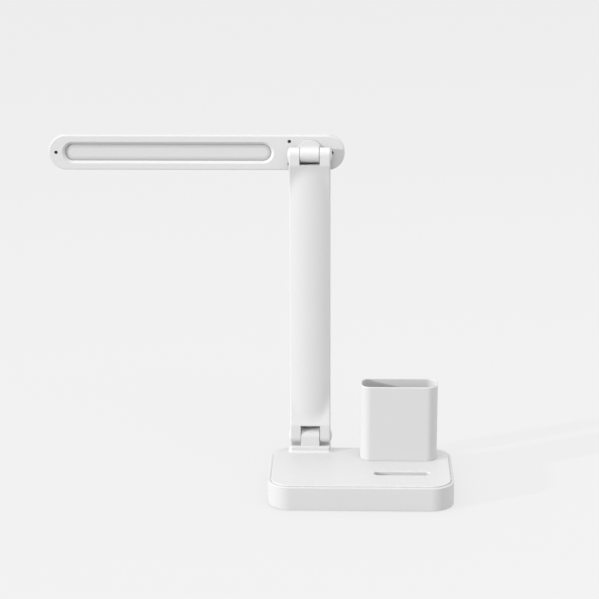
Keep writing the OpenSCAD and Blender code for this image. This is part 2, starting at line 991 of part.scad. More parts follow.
module arm_screw_places() {
    span = arm_cover_hi - arm_cover_lo - 2 * arm_screw_end;
    for (i = [0 : arm_screw_count - 1])
        translate([arm_screw_x, 0,
            arm_cover_lo + arm_screw_end + i * span / (arm_screw_count - 1)])
            children();
}

// Front of the arm with both forks; the back is open for the cover
module arm_front_shell() {
    color(cover_colour)
        at_arm()
            difference() {
                union() {
                    difference() {
                        arm_form();
                        arm_cavity();
                        translate([-arm_w, split_y, arm_cover_lo - seam])
                            cube([2 * arm_w, barrel_r, arm_cover_hi - arm_cover_lo + 2 * seam]);
                    }
                    intersection() {
                        arm_screw_places()
                            rod_y(-arm_front, small_screw[0] + small_boss_wall,
                                arm_front + split_y - eps);
                        translate([0, 0, lower_root])
                            linear_extrude(arm_l - lower_root - upper_root)
                                arm_section(arm_wall / 2);
                    }
                }
                arm_screw_places()
                    rod_y(-arm_front + arm_wall, small_screw[0] + screw_fit, arm_front + cut);
                ear_holes(0);
                ear_holes(arm_l);
                for (z = [0, cavity_hi - cut])
                    translate([wire_x, wire_y, z])
                        cylinder(h = z == 0 ? cavity_lo + cut : arm_l - cavity_hi + cut,
                            r = wire_hole_r);
            }
}

// Pin bores and pockets of one fork
module ear_holes(z) {
    translate([0, 0, z]) {
        rod_x(-arm_w / 2 - cut, pin_r + running_fit, arm_w + 2 * cut);
        for (side = [-1, 1])
            translate([side > 0 ? pocket_floor : -pocket_floor - pocket_depth - cut, 0, 0])
                rod_x(0, pocket_r, pocket_depth + cut);
    }
}

module arm_back_cover() {
    color(cover_colour)
        at_arm()
            difference() {
                intersection() {
                    translate([0, 0, arm_cover_lo])
                        linear_extrude(arm_cover_hi - arm_cover_lo)
                            arm_section(0);
                    translate([-arm_w, split_y, arm_cover_lo])
                        cube([2 * arm_w, barrel_r, arm_cover_hi - arm_cover_lo]);
                }
                arm_cavity();
                arm_screw_places() {
                    rod_y(0, small_screw[0] + seam, barrel_r);
                    rod_y(arm_head_y, small_screw[1] + seam, barrel_r);
                }
            }
}

module arm_screws() {
    color(steel_colour)
        at_arm()
            arm_screw_places()
                translate([0, arm_head_y, 0])
                    rotate([-90, 0, 0])
                        screw(small_screw, arm_head_y + arm_front - arm_wall - arm_tip_gap);
}

// Steel strip that stiffens the arm
module arm_strip() {
    color(steel_colour)
        at_arm()
            translate([strip_x - strip_w / 2, strip_y, cavity_lo + strip_end_gap])
                cube([strip_w, strip_t, cavity_hi - cavity_lo - 2 * strip_end_gap]);
}

// Wire from the base hinge's pocket to the head hinge's pocket
module arm_wire() {
    wire_gap = pocket_r + wire_end_gap;
    color([0.85, 0.85, 0.85])
        at_arm()
            translate([wire_x, wire_y, wire_gap])
                cylinder(h = arm_l - 2 * wire_gap, r = wire_r);
}

// ---- hinge hardware, drawn around a hinge axis along X ----

// Hollow pin with its head in the left pocket
module hinge_pin() {
    length = 2 * pocket_floor + 2 * spring_t + nut_t + 3 * nut_gap;
    color(steel_colour)
        difference() {
            union() {
                rod_x(-pocket_floor - pin_head_t, pin_r, length + pin_head_t);
                rod_x(-pocket_floor - pin_head_t, pin_head_r, pin_head_t);
            }
            rod_x(-arm_w / 2, pin_bore_r, arm_w + pocket_depth);
        }
}

// White friction washers between the fork's ears and the tongue
module hinge_washers() {
    color(cover_colour)
        for (side = [-1, 1])
            difference() {
                rod_x(side > 0 ? ear_in - washer_t : -ear_in, barrel_r - washer_inset,
                    washer_t);
                rod_x(-arm_w / 2, pin_r + running_fit, arm_w);
            }
}

// Two dished spring washers under the nut
module hinge_springs() {
    color(steel_colour)
        for (i = [0, 1])
            difference() {
                rod_x(pocket_floor + nut_gap / 2 + i * (spring_t + nut_gap / 2),
                    pocket_r - spring_play, spring_t);
                rod_x(0, pin_r + running_fit, arm_w);
            }
}

module hinge_nut() {
    color(steel_colour)
        translate([pocket_floor + 2 * spring_t + 2 * nut_gap, 0, 0])
            difference() {
                rotate([0, 90, 0])
                    cylinder(h = nut_t, r = nut_r, $fn = 6);
                rod_x(-cut, pin_r + running_fit, nut_t + 2 * cut);
            }
}

// Domed caps that plug the pockets
module hinge_caps() {
    dome_r = (pow(cap_r, 2) + pow(cap_bulge, 2)) / (2 * cap_bulge);
    color(housing_colour)
        for (side = [0, 1])
            mirror([side, 0, 0])
                translate([arm_w / 2, 0, 0])
                    rotate([0, 90, 0])
                        rotate_extrude() {
                            translate([0, -plug_t])
                                square([pocket_r - running_fit, plug_t]);
                            intersection() {
                                square([cap_r, cap_bulge]);
                                translate([0, cap_bulge - dome_r])
                                    circle(dome_r, $fn = 96);
                            }
                        }
}

module at_head() {
    translate([hinge_x, hinge_y, head_z])
        children();
}

module base_hinge_pin() {
    at_arm() hinge_pin();
}

module base_hinge_washers() {
    at_arm() hinge_washers();
}

module base_hinge_springs() {
    at_arm() hinge_springs();
}

module base_hinge_nut() {
    at_arm() hinge_nut();
}

module base_hinge_caps() {
    at_arm() hinge_caps();
}

module head_hinge_pin() {
    at_head() hinge_pin();
}

module head_hinge_washers() {
    at_head() hinge_washers();
}

module head_hinge_springs() {
    at_head() hinge_springs();
}

module head_hinge_nut() {
    at_head() hinge_nut();
}

module head_hinge_caps() {
    at_head() hinge_caps();
}

// ---- head, drawn around the head hinge axis and the swivel axis ----

module swivel_screw_places() {
    for (side = [-1, 1])
        translate([0, 0, side * swivel_screw_r])
            children();
}

module face_screw_places() {
    for (p = face_screws)
        translate([p[0], 0, p[1]])
            children();
}

// Tongue in the arm's fork, with the swivel flange and the hollow stem
module head_knuckle() {
    color(cover_colour)
        at_head()
            difference() {
                union() {
                    rod_x(-tongue_w / 2, barrel_r, tongue_w);
                    translate([-tongue_w / 2, 0, -barrel_r])
                        cube([tongue_w, flange_y + eps, 2 * barrel_r]);
                    rod_y(flange_y, flange_r, flange_t);
                    rod_y(stem_y - eps, stem_r, retainer_y - stem_y);
                }
                rod_x(-tongue_w / 2 - cut, pin_r + running_fit, tongue_w + 2 * cut);
                rod_y(0, stem_bore_r, retainer_y + cut);
                swivel_screw_places()
                    rod_y(flange_y + swivel_hole_start, tiny_screw[0] + screw_fit,
                        retainer_y);
            }
}

// Steel plate on the stem's end that holds the head on
module swivel_retainer() {
    color(steel_colour)
        at_head()
            difference() {
                rod_y(retainer_y, retainer_r, retainer_t);
                rod_y(retainer_y - cut, stem_bore_r, retainer_t + 2 * cut);
                swivel_screw_places()
                    rod_y(retainer_y - cut, tiny_screw[0] + seam, retainer_t + 2 * cut);
            }
}

module swivel_screws() {
    color(steel_colour)
        at_head()
            swivel_screw_places()
                translate([0, retainer_y + retainer_t, 0])
                    rotate([-90, 0, 0])
                        screw(tiny_screw, swivel_screw_l);
}

// Spring washer that presses the head's boss against the flange
module swivel_spring() {
    color(steel_colour)
        at_head()
            difference() {
                rod_y(boss_back, retainer_r - swivel_rim, swivel_spring_t);
                rod_y(boss_back - cut, stem_r + seam, swivel_spring_t + 2 * cut);
            }
}

// Bevelled stadium opening, wide at the face and narrow behind
module window_cut() {
    x0 = -window_far + window_r;
    x1 = -window_near - window_r;
    translate([0, face_y, 0])
        rotate([-90, 0, 0]) {
            for (x = [x0, x1])
                translate([x, 0, 0])
                    cylinder(h = window_bevel, r1 = window_r, r2 = pane_r);
            translate([x0, 0, 0])
                rotate([90, 0, 90])
                    linear_extrude(x1 - x0)
                        polygon([
                            [-window_r, 0],
                            [window_r, 0],
                            [pane_r, window_bevel],
                            [-pane_r, window_bevel]
                        ]);
        }
    along_y(face_y - cut, face_t + 2 * cut)
        stadium(-window_far + window_bevel, -window_near - window_bevel, pane_r);
}

// Front of the light bar
module head_face() {
    swivel_boss_r = head_r - head_wall - seam;
    color(cover_colour)
        at_head()
            difference() {
                union() {
                    difference() {
                        translate([0, cover_y, 0])
                            mirror([0, 1, 0])
                                soft_bar(-far_end, near_end, head_r, face_depth, face_edge_r);
                        along_y(face_y + face_t, face_depth)
                            stadium(-far_end + head_wall, near_end - head_wall,
                                head_r - head_wall);
                    }
                    rod_y(face_y + face_t - eps, swivel_boss_r, boss_back - face_y - face_t);
                    face_screw_places()
                        rod_y(face_y + face_t - eps, face_boss_r,
                            face_boss_back - face_y - face_t);
                }
                window_cut();
                rod_y(face_y - cut, flange_r + running_fit * 2, flange_seat + cut);
                rod_y(face_y, stem_r + running_fit, boss_back);
                face_screw_places() {
                    rod_y(face_y - cut, face_well_r, screw_head_y - face_y + cut);
                    rod_y(face_y, tiny_screw[0] + screw_fit, head_t);
                }
            }
}

// Back of the light bar with the posts that take the face's screws
module head_back_cover() {
    color(cover_colour)
        at_head()
            difference() {
                union() {
                    difference() {
                        translate([0, cover_y, 0])
                            soft_bar(-far_end, near_end, head_r, head_back - cover_y,
                                back_edge_r);
                        along_y(cover_y - cut, head_back - head_wall - cover_y + cut)
                            stadium(-far_end + head_wall, near_end - head_wall,
                                head_r - head_wall);
                    }
                    face_screw_places()
                        rod_y(face_boss_back, face_boss_r,
                            head_back - head_wall - face_boss_back + eps);
                    tray_ribs();
                }
                face_screw_places() {
                    rod_y(cover_y - cut, face_boss_r + seam, face_boss_back - cover_y + cut);
                    rod_y(cover_y, tiny_screw[0] + screw_fit, head_back - head_wall - cover_y);
                }
            }
}

// Ribs that the reflector tray sits on
module tray_ribs() {
    rib_t = 1.4;
    rib_count = 5;
    rib_end = 14;
    rib_span = window_l - 2 * rib_end;
    for (i = [0 : rib_count - 1])
        translate([-window_far + rib_end + i * rib_span / (rib_count - 1) - rib_t / 2,
            tray_floor_y + tray_wall, -head_r + head_wall - eps])
            cube([rib_t, head_back - head_wall - tray_floor_y - tray_wall + eps,
                head_w - 2 * head_wall + 2 * eps]);
}

module head_screws() {
    color(dark_colour)
        at_head()
            face_screw_places()
                translate([0, screw_head_y, 0])
                    rotate([90, 0, 0])
                        screw(tiny_screw,
                            head_back - head_wall - screw_head_y - head_tip_gap);
}

// Milky pane behind the window
module diffuser() {
    color([0.9, 0.9, 0.9])
        at_head()
            along_y(diffuser_y, diffuser_t)
                stadium(-window_far + window_bevel - pane_lip,
                    -window_near - window_bevel + pane_lip, tray_r);
}

// White tray that presses the pane against the face and holds the light board
module reflector_tray() {
    x0 = -window_far + window_bevel - pane_lip;
    x1 = -window_near - window_bevel + pane_lip;
    color([0.97, 0.97, 0.97])
        at_head()
            difference() {
                along_y(tray_y, tray_floor_y + tray_wall - tray_y)
                    stadium(x0, x1, tray_r);
                along_y(tray_y - cut, tray_floor_y - tray_y + cut)
                    stadium(x0 + tray_wall, x1 - tray_wall, tray_r - tray_wall);
            }
}

module led_board() {
    board_l = window_l - 2 * window_r;
    color([0.95, 0.95, 0.93])
        at_head()
            translate([-window_far + window_r, tray_floor_y - led_board_t, -led_board_w / 2])
                cube([board_l, led_board_t, led_board_w]);
}

module led_chips() {
    chip_end = 5;
    span = window_l - 2 * window_r - 2 * chip_end;
    color([0.95, 0.85, 0.4])
        at_head()
            for (i = [0 : chip_count - 1])
                translate([-window_far + window_r + chip_end + i * span / (chip_count - 1)
                    - chip_w / 2, tray_floor_y - led_board_t - chip_t, -chip_h / 2])
                    cube([chip_w, chip_t, chip_h]);
}

// Wire from the stem's bore to the light board's tray
module head_wire() {
    run_y = head_back - head_wall - head_wire_r - seam;
    wire_end = window_near + window_bevel - pane_lip - seam;
    start_y = retainer_y + retainer_t + seam;
    color([0.85, 0.85, 0.85])
        at_head() {
            rod_y(start_y, head_wire_r, run_y + head_wire_r - start_y);
            translate([0, run_y, 0])
                rod_x(-wire_end, head_wire_r, wire_end);
        }
}

base_housing();
base_top_cover();
base_bottom_plate();
base_screws();
rubber_feet();
counterweight();
counterweight_screws();
battery();
battery_strap();
strap_screws();
control_board();
board_components();
board_screws();
charging_socket();
touch_sensor();
battery_lead();
pen_cup();
pen_cup_screws();
arm_front_shell();
arm_back_cover();
arm_screws();
arm_strip();
arm_wire();
base_hinge_pin();
base_hinge_washers();
base_hinge_springs();
base_hinge_nut();
base_hinge_caps();
head_hinge_pin();
head_hinge_washers();
head_hinge_springs();
head_hinge_nut();
head_hinge_caps();
head_knuckle();
swivel_retainer();
swivel_screws();
swivel_spring();
head_face();
head_back_cover();
head_screws();
diffuser();
reflector_tray();
led_board();
led_chips();
head_wire();
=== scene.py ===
"""Looks of the folding desk lamp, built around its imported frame.

Shapes are worked out in millimetres, in the frame's own axes, and turned into metres when a
mesh is made. Most are an outline carried along a profile: see carried(). Where a cutter only
has to reach past a piece, its end is a round number.
"""

import json
import math

import bmesh
import bpy
import numpy as np
from mathutils import Matrix, Vector


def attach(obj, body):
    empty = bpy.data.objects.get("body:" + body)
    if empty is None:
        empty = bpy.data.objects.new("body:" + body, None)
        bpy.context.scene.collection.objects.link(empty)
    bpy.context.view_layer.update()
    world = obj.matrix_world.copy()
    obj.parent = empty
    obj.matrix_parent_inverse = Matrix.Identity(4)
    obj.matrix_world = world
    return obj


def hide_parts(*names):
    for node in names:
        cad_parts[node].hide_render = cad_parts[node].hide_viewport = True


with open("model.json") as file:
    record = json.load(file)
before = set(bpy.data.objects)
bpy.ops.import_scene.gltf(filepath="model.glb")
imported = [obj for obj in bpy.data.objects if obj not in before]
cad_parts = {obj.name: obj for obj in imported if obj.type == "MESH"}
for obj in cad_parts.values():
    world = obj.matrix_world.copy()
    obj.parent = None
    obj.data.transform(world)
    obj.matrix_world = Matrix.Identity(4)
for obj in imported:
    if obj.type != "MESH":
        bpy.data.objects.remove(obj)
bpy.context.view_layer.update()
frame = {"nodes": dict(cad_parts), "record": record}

MM = 0.001

# ---- sizes shared by several pieces, in millimetres ----

BASE_W, BASE_D, BASE_TOP, BASE_R = 160.0, 94.0, 22.4, 20.0
BASE_WALL = 2.6
COVER_Z = 19.8
PLATE_TOP = 3.2
PAD_W, PAD_TOP = 36.0, 28.0
CUP_X, CUP_Y = 33.1, 25.75
CUP_SCREWS = [(CUP_X - 18, CUP_Y), (CUP_X + 18, CUP_Y)]
SCREW_HOLE_R, FINE_HOLE_R = 1.55, 0.85

HINGE_X, HINGE_Y, HINGE_Z = -44.8, 39.0, 36.3
ARM_L, ARM_W = 254.5, 35.5
HEAD_Z = HINGE_Z + ARM_L
BARREL_R, PIN_BORE_R = 6.5, 2.05
TONGUE_W, EAR_GAP = 16.4, 0.4
POCKET_R = 4.5

FACE_Y, FACE_BACK, RIM_Y, BACK_Y = 46.9, 49.1, 50.3, 58.4
BAR_X0, BAR_X1, BAR_R = HINGE_X - 224.67, HINGE_X + 29.8, 15.0
BAR_WALL = 1.6
RIM_EDGE = 0.15
WINDOW_L, WINDOW_W, WINDOW_BEVEL = 181.6, 18.5, 1.9
WINDOW_X1 = HINGE_X - 31.1
WINDOW_X0 = WINDOW_X1 - WINDOW_L
PANE_X0, PANE_X1 = WINDOW_X0 + WINDOW_BEVEL, WINDOW_X1 - WINDOW_BEVEL
PANE_R = WINDOW_W / 2 - WINDOW_BEVEL
FLANGE_R, STEM_R = 11.5, 6.0
SCREW_PLACES = ((-17.5, 9.8), (-17.5, -9.8), (18.8, 0.0), (-218.2, 0.0))
FACE_SCREWS = [(HINGE_X + x, HEAD_Z + z) for x, z in SCREW_PLACES]
POST_R, POST_SPLIT = 2.6, 52.1

# ---- outlines and profiles ----


def round_outline(w, d, r, at=(0.0, 0.0), n=20):
    """Rectangle with round corners: each corner's centre plus r times the unit normal, whose
    angle runs a quarter turn in n points. Gives the points and their outward normals."""
    angle = (np.arange(4)[:, None] + np.linspace(0, 1, n)) * math.pi / 2
    normal = np.stack([np.cos(angle), np.sin(angle)], -1).reshape(-1, 2)
    half = np.array([w / 2 - r, d / 2 - r])
    centre = np.repeat(np.array([[1, 1], [-1, 1], [-1, -1], [1, -1]]) * half, n, 0)
    return centre + r * normal + np.array(at), normal


def stadium(x0, x1, r, z, n=20):
    """Long outline with round ends from x0 to x1, of half-width r, at height z."""
    return round_outline(x1 - x0, 2 * r, r, ((x0 + x1) / 2, z), n)


def round_axis(at, n):
    """Outline of no width whose n normals point all round, so that a profile carried on it is
    turned about the point at."""
    angle = np.arange(n) * 2 * math.pi / n
    normal = np.stack([np.cos(angle), np.sin(angle)], -1)
    return np.zeros((n, 2)) + np.array(at), normal


def softened(corners, closed=False, n=6):
    """Polyline of (across, up, radius) corners, each rounded by an arc that touches both of its
    lines: the arc's centre is radius over sin(half the corner's angle) along the bisector."""
    corners = np.array(corners, float)
    out = []
    count = len(corners)
    for i, (x, y, r) in enumerate(corners):
        p = np.array([x, y])
        if r <= 0 or (not closed and i in (0, count - 1)):
            out.append(p[None])
            continue
        u = corners[i - 1, :2] - p
        v = corners[(i + 1) % count, :2] - p
        u, v = u / np.linalg.norm(u), v / np.linalg.norm(v)
        half = math.acos(np.clip(u @ v, -1, 1)) / 2
        centre = p + (u + v) / np.linalg.norm(u + v) * r / math.sin(half)
        a, b = p + u * r / math.tan(half) - centre, p + v * r / math.tan(half) - centre
        turn = math.pi - 2 * half
        s = np.linspace(0, 1, n)[:, None]
        out.append(centre + (np.sin((1 - s) * turn) * a + np.sin(s * turn) * b) / math.sin(turn))
    return np.concatenate(out)


# ---- solids ----


def carried(outline, profile, plane="xy", closed=False):
    """Solid from an outline in plane and a profile of (outward offset, height over the plane):
    point (i, j) is outline i moved along its normal by offset j, at height j. Its two ends
    are capped, unless the profile is closed."""
    point, normal = outline
    profile = np.asarray(profile, float)
    flat = point[:, None] + normal[:, None] * profile[None, :, :1]
    height = np.broadcast_to(profile[None, :, 1], flat.shape[:2])
    order = {"xy": (0, 1, 2), "xz": (0, 2, 1), "yz": (2, 0, 1)}[plane]
    return grid_solid(np.dstack([flat, height])[..., order], closed)


def grid_solid(verts, closed=False):
    """Solid from a grid of points. Along its first index the grid closes on itself, and along
    its second it ends in two caps or, if closed, closes on itself too."""
    nu, nv = verts.shape[:2]
    index = np.arange(nu * nv).reshape(nu, nv)
    a, b = index, np.roll(index, -1, 0)
    c, d = np.roll(b, -1, 1), np.roll(a, -1, 1)
    if not closed:
        a, b, c, d = a[:, :-1], b[:, :-1], c[:, :-1], d[:, :-1]
    faces = np.stack([a, b, c, d], -1).reshape(-1, 4).tolist()
    if not closed:
        faces += [index[::-1, 0].tolist(), index[:, -1].tolist()]
    return solid(verts.reshape(-1, 3), faces)


def solid(verts, faces):
    """Object from points in millimetres, with doubles merged and its faces turned outwards."""
    mesh = bpy.data.meshes.new("solid")
    mesh.from_pydata((np.asarray(verts) * MM).tolist(), [], faces)
    bm = bmesh.new()
    bm.from_mesh(mesh)
    bmesh.ops.remove_doubles(bm, verts=bm.verts, dist=2e-6)
    bmesh.ops.dissolve_degenerate(bm, edges=bm.edges, dist=1e-6)
    bmesh.ops.recalc_face_normals(bm, faces=bm.faces)
    bm.to_mesh(mesh)
    bm.free()
    piece = bpy.data.objects.new("solid", mesh)
    bpy.context.scene.collection.objects.link(piece)
    return piece


def block(lo, hi):
    """Box between two corners, used as a cutter or a rib."""
    lo, hi = np.array(lo, float), np.array(hi, float)
    corner = np.array([[0, 0], [1, 0], [1, 1], [0, 1]])
    ring = lo[:2] + corner * (hi - lo)[:2]
    verts = np.concatenate([np.c_[ring, np.full(4, z)] for z in (lo[2], hi[2])])
    sides = [[i, (i + 1) % 4, 4 + (i + 1) % 4, 4 + i] for i in range(4)]
    return solid(verts, [[3, 2, 1, 0], [4, 5, 6, 7]] + sides)


def turned(profile, at, plane, n):
    """Solid of a profile of (radius, height) turned about an axis through at, in n steps."""
    return carried(round_axis(at, n), profile, plane)


def rod(at, r, lo, hi, plane, n=40):
    """Round cutter or boss of radius r about an axis through at, from lo to hi."""
    return turned([(0, lo), (r, lo), (r, hi), (0, hi)], at, plane, n)


def pin_bore(axis_z, half_w):
    """Cutter for a hinge's pin, through a piece of less than half_w on each side."""
    return rod((HINGE_Y, axis_z), PIN_BORE_R, HINGE_X - half_w, HINGE_X + half_w, "yz", 32)


def worked(piece, operation, *others):
    """piece with the others cut out of it, added to it or intersected with it, one after
    another."""
    for other in others:
        step = piece.modifiers.new("step", "BOOLEAN")
        step.operation = operation
        step.solver = "EXACT"
        step.object = other
    depsgraph = bpy.context.evaluated_depsgraph_get()
    mesh = bpy.data.meshes.new_from_object(piece.evaluated_get(depsgraph))
    piece.modifiers.clear()
    piece.data = mesh
    for other in others:
        bpy.data.objects.remove(other)
    return piece


def cut(piece, *cutters):
    return worked(piece, "DIFFERENCE", *cutters)


def add(piece, *parts):
    return worked(piece, "UNION", *parts)


def copy_of(piece):
    twin = piece.copy()
    twin.data = piece.data.copy()
    bpy.context.scene.collection.objects.link(twin)
    return twin


CREASE = math.radians(32)


def finished(piece, name, body, replaced):
    """Names a piece, gives it its slot's finish, smooths it up to the crease angle, lets it
    ride on its body and puts it in place of the CAD nodes that it stands for."""
    piece.name = piece.data.name = name
    piece.data.shade_smooth()
    piece.data.set_sharp_from_angle(angle=CREASE)
    weight = piece.modifiers.new("weight", "WEIGHTED_NORMAL")
    weight.keep_sharp = True
    slot = SLOT_OF[replaced[0]]
    piece.data.materials.clear()
    piece.data.materials.append(FINISH[slot])
    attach(piece, body)
    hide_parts(*replaced)
    return piece


# ---- finishes ----

SLOT_OF = {part["node"]: part["material_slot"] for part in frame["record"]["subparts"]}
FINISH = {}

COLOUR, FLOAT, VECTOR = "NodeSocketColor", "NodeSocketFloat", "NodeSocketVector"


def look_group(name, roughness, *own):
    """Shader group that takes a place, two tones, its own sockets and a roughness. Gives the
    group, its inputs and its outputs."""
    group = bpy.data.node_groups.new(name, "ShaderNodeTree")
    for socket, kind, value in (
        ("Place", VECTOR, None),
        ("Light tone", COLOUR, None),
        ("Dark tone", COLOUR, None),
        *own,
        ("Roughness", FLOAT, roughness),
    ):
        made = group.interface.new_socket(socket, in_out="INPUT", socket_type=kind)
        if value is not None:
            made.default_value = value
    for socket, kind in (("Color", COLOUR), ("Roughness", FLOAT), ("Height", FLOAT)):
        group.interface.new_socket(socket, in_out="OUTPUT", socket_type=kind)
    return group, group.nodes.new("NodeGroupInput"), group.nodes.new("NodeGroupOutput")


def noise(tree, vector, scale, detail, roughness=0.5):
    """Noise texture on a vector; scale is a socket or a number of features per metre."""
    node = tree.nodes.new("ShaderNodeTexNoise")
    node.inputs["Detail"].default_value = detail
    node.inputs["Roughness"].default_value = roughness
    tree.links.new(vector, node.inputs["Vector"])
    if isinstance(scale, (int, float)):
        node.inputs["Scale"].default_value = scale
    else:
        tree.links.new(scale, node.inputs["Scale"])
    return node.outputs["Fac"]


def sum_of(tree, *terms):
    """Sum of terms, each a socket times a number."""
    total = None
    for value, weight in terms:
        node = tree.nodes.new("ShaderNodeMath")
        node.operation = "MULTIPLY_ADD"
        tree.links.new(value, node.inputs[0])
        node.inputs[1].default_value = weight
        if total is None:
            node.inputs[2].default_value = 0.0
        else:
            tree.links.new(total, node.inputs[2])
        total = node.outputs[0]
    return total


def tinted(tree, low, high, factor):
    """Mix of two colours, each a socket or a colour."""
    node = tree.nodes.new("ShaderNodeMix")
    node.data_type = "RGBA"
    tree.links.new(factor, node.inputs["Factor"])
    for socket, source in ((node.inputs[6], low), (node.inputs[7], high)):
        if isinstance(source, tuple):
            socket.default_value = source
        else:
            tree.links.new(source, socket)
    return node.outputs[2]


def put_look(group, given, put, mask, rough, height):
    """Joins up a group's outputs: the colour between its two tones by the mask, the given
    roughness with the rough terms added, and the height."""
    tone = tinted(group, given.outputs["Dark tone"], given.outputs["Light tone"], mask)
    rough = sum_of(group, (given.outputs["Roughness"], 1.0), *rough)
    group.links.new(tone, put.inputs["Color"])
    group.links.new(rough, put.inputs["Roughness"])
    group.links.new(height, put.inputs["Height"])
    return group


def moulded_group():
    """Moulded plastic: a slow drift of tone between two colours, a roughness that wanders,
    and a height of fine spark grain over a shallow orange peel."""
    group, given, put = look_group(
        "moulded_plastic", 0.4, ("Grain", FLOAT, 2600.0), ("Peel", FLOAT, 260.0)
    )
    place = given.outputs["Place"]
    drift = noise(group, place, 22.0, 3.0)
    grain = noise(group, place, given.outputs["Grain"], 2.0, 0.6)
    peel = noise(group, place, given.outputs["Peel"], 1.0)
    mask = sum_of(group, (drift, 0.8), (grain, 0.2))
    height = sum_of(group, (grain, 0.45), (peel, 0.55))
    return put_look(group, given, put, mask, [(drift, 0.06), (grain, 0.05)], height)


def drawn_group():
    """Rolled or drawn metal: lines along one axis, where the place is squeezed so that the
    noise is drawn out, with a few darker specks."""
    group, given, put = look_group("drawn_metal", 0.35, ("Squeeze", VECTOR, None))
    place = given.outputs["Place"]
    squeeze = group.nodes.new("ShaderNodeVectorMath")
    squeeze.operation = "MULTIPLY"
    group.links.new(place, squeeze.inputs[0])
    group.links.new(given.outputs["Squeeze"], squeeze.inputs[1])
    lines = noise(group, squeeze.outputs[0], 900.0, 3.0, 0.65)
    specks = noise(group, place, 700.0, 2.0, 0.7)
    mask = sum_of(group, (lines, 0.7), (specks, 0.3))
    height = sum_of(group, (lines, 0.8), (specks, 0.2))
    return put_look(group, given, put, mask, [(lines, 0.12), (specks, 0.08)], height)


BUMP_STRENGTH = 0.5


def finish(name, group, values, depth, passed_on=None, **shader):
    """Makes a slot's material from a group's colour, roughness and height, whose relief is
    depth millimetres; shader names the Principled sockets that are the same all over. A
    colour passed_on is what the surface shows to its neighbours, so that white pieces don't
    light each other up."""
    material = bpy.data.materials.new(name)
    material.use_nodes = True
    tree = material.node_tree
    surface = tree.nodes["Principled BSDF"]
    place = tree.nodes.new("ShaderNodeTexCoord")
    look = tree.nodes.new("ShaderNodeGroup")
    look.node_tree = group
    tree.links.new(place.outputs["Object"], look.inputs["Place"])
    for socket, value in values.items():
        look.inputs[socket].default_value = value
    bump = tree.nodes.new("ShaderNodeBump")
    bump.inputs["Distance"].default_value = depth * MM
    bump.inputs["Strength"].default_value = BUMP_STRENGTH
    tree.links.new(look.outputs["Height"], bump.inputs["Height"])
    colour = look.outputs["Color"]
    if passed_on:
        path = tree.nodes.new("ShaderNodeLightPath")
        colour = tinted(tree, colour, passed_on, path.outputs["Is Diffuse Ray"])
    tree.links.new(colour, surface.inputs["Base Color"])
    tree.links.new(look.outputs["Roughness"], surface.inputs["Roughness"])
    tree.links.new(bump.outputs["Normal"], surface.inputs["Normal"])
    for socket, value in shader.items():
        surface.inputs[socket.replace("_", " ")].default_value = value
    FINISH[name] = material


def painted_pane_edge_shade(material, dark, reach):
    """Paints shade into the colour towards the pane's edge, standing in for the light that the
    frame keeps from it: the distance inside the stadium is its radius less the length from the
    point to the middle line between the two end centres. The painted shade fades out smoothly at
    reach millimetres."""
    tree = material.node_tree
    surface = tree.nodes["Principled BSDF"]
    colour = surface.inputs["Base Color"].links[0].from_socket
    place = next(node for node in tree.nodes if node.type == "TEX_COORD").outputs["Object"]
    split = tree.nodes.new("ShaderNodeSeparateXYZ")
    tree.links.new(place, split.inputs[0])
    nearest = tree.nodes.new("ShaderNodeClamp")
    tree.links.new(split.outputs["X"], nearest.inputs["Value"])
    nearest.inputs["Min"].default_value = (PANE_X0 + PANE_R) * MM
    nearest.inputs["Max"].default_value = (PANE_X1 - PANE_R) * MM
    middle = tree.nodes.new("ShaderNodeCombineXYZ")
    tree.links.new(nearest.outputs[0], middle.inputs["X"])
    middle.inputs["Z"].default_value = HEAD_Z * MM
    flat = tree.nodes.new("ShaderNodeCombineXYZ")
    tree.links.new(split.outputs["X"], flat.inputs["X"])
    tree.links.new(split.outputs["Z"], flat.inputs["Z"])
    away = tree.nodes.new("ShaderNodeVectorMath")
    away.operation = "DISTANCE"
    tree.links.new(flat.outputs[0], away.inputs[0])
    tree.links.new(middle.outputs[0], away.inputs[1])
    inside = tree.nodes.new("ShaderNodeMapRange")
    inside.interpolation_type = "SMOOTHSTEP"
    tree.links.new(away.outputs["Value"], inside.inputs["Value"])
    inside.inputs["From Min"].default_value = PANE_R * MM
    inside.inputs["From Max"].default_value = (PANE_R - reach) * MM
    # mixes the painted shade into the pane's colour, darkest at the pane's edge
    tree.links.new(tinted(tree, dark, colour, inside.outputs[0]), surface.inputs["Base Color"])


def grey(v, warm=0.0):
    return (v * (1 + warm), v, v * (1 - warm), 1.0)


def rgb(*colour):
    return (*colour, 1.0)


def tones(light, dark, **more):
    return {"Light tone": light, "Dark tone": dark, **more}


# what white pieces show to their neighbours
DULL = grey(0.44)
# painted shade towards the milky pane's edge: its colour, and how far in it reaches in
# millimetres
PAINTED_PANE_SHADE, PAINTED_SHADE_REACH = grey(0.6), 4.8


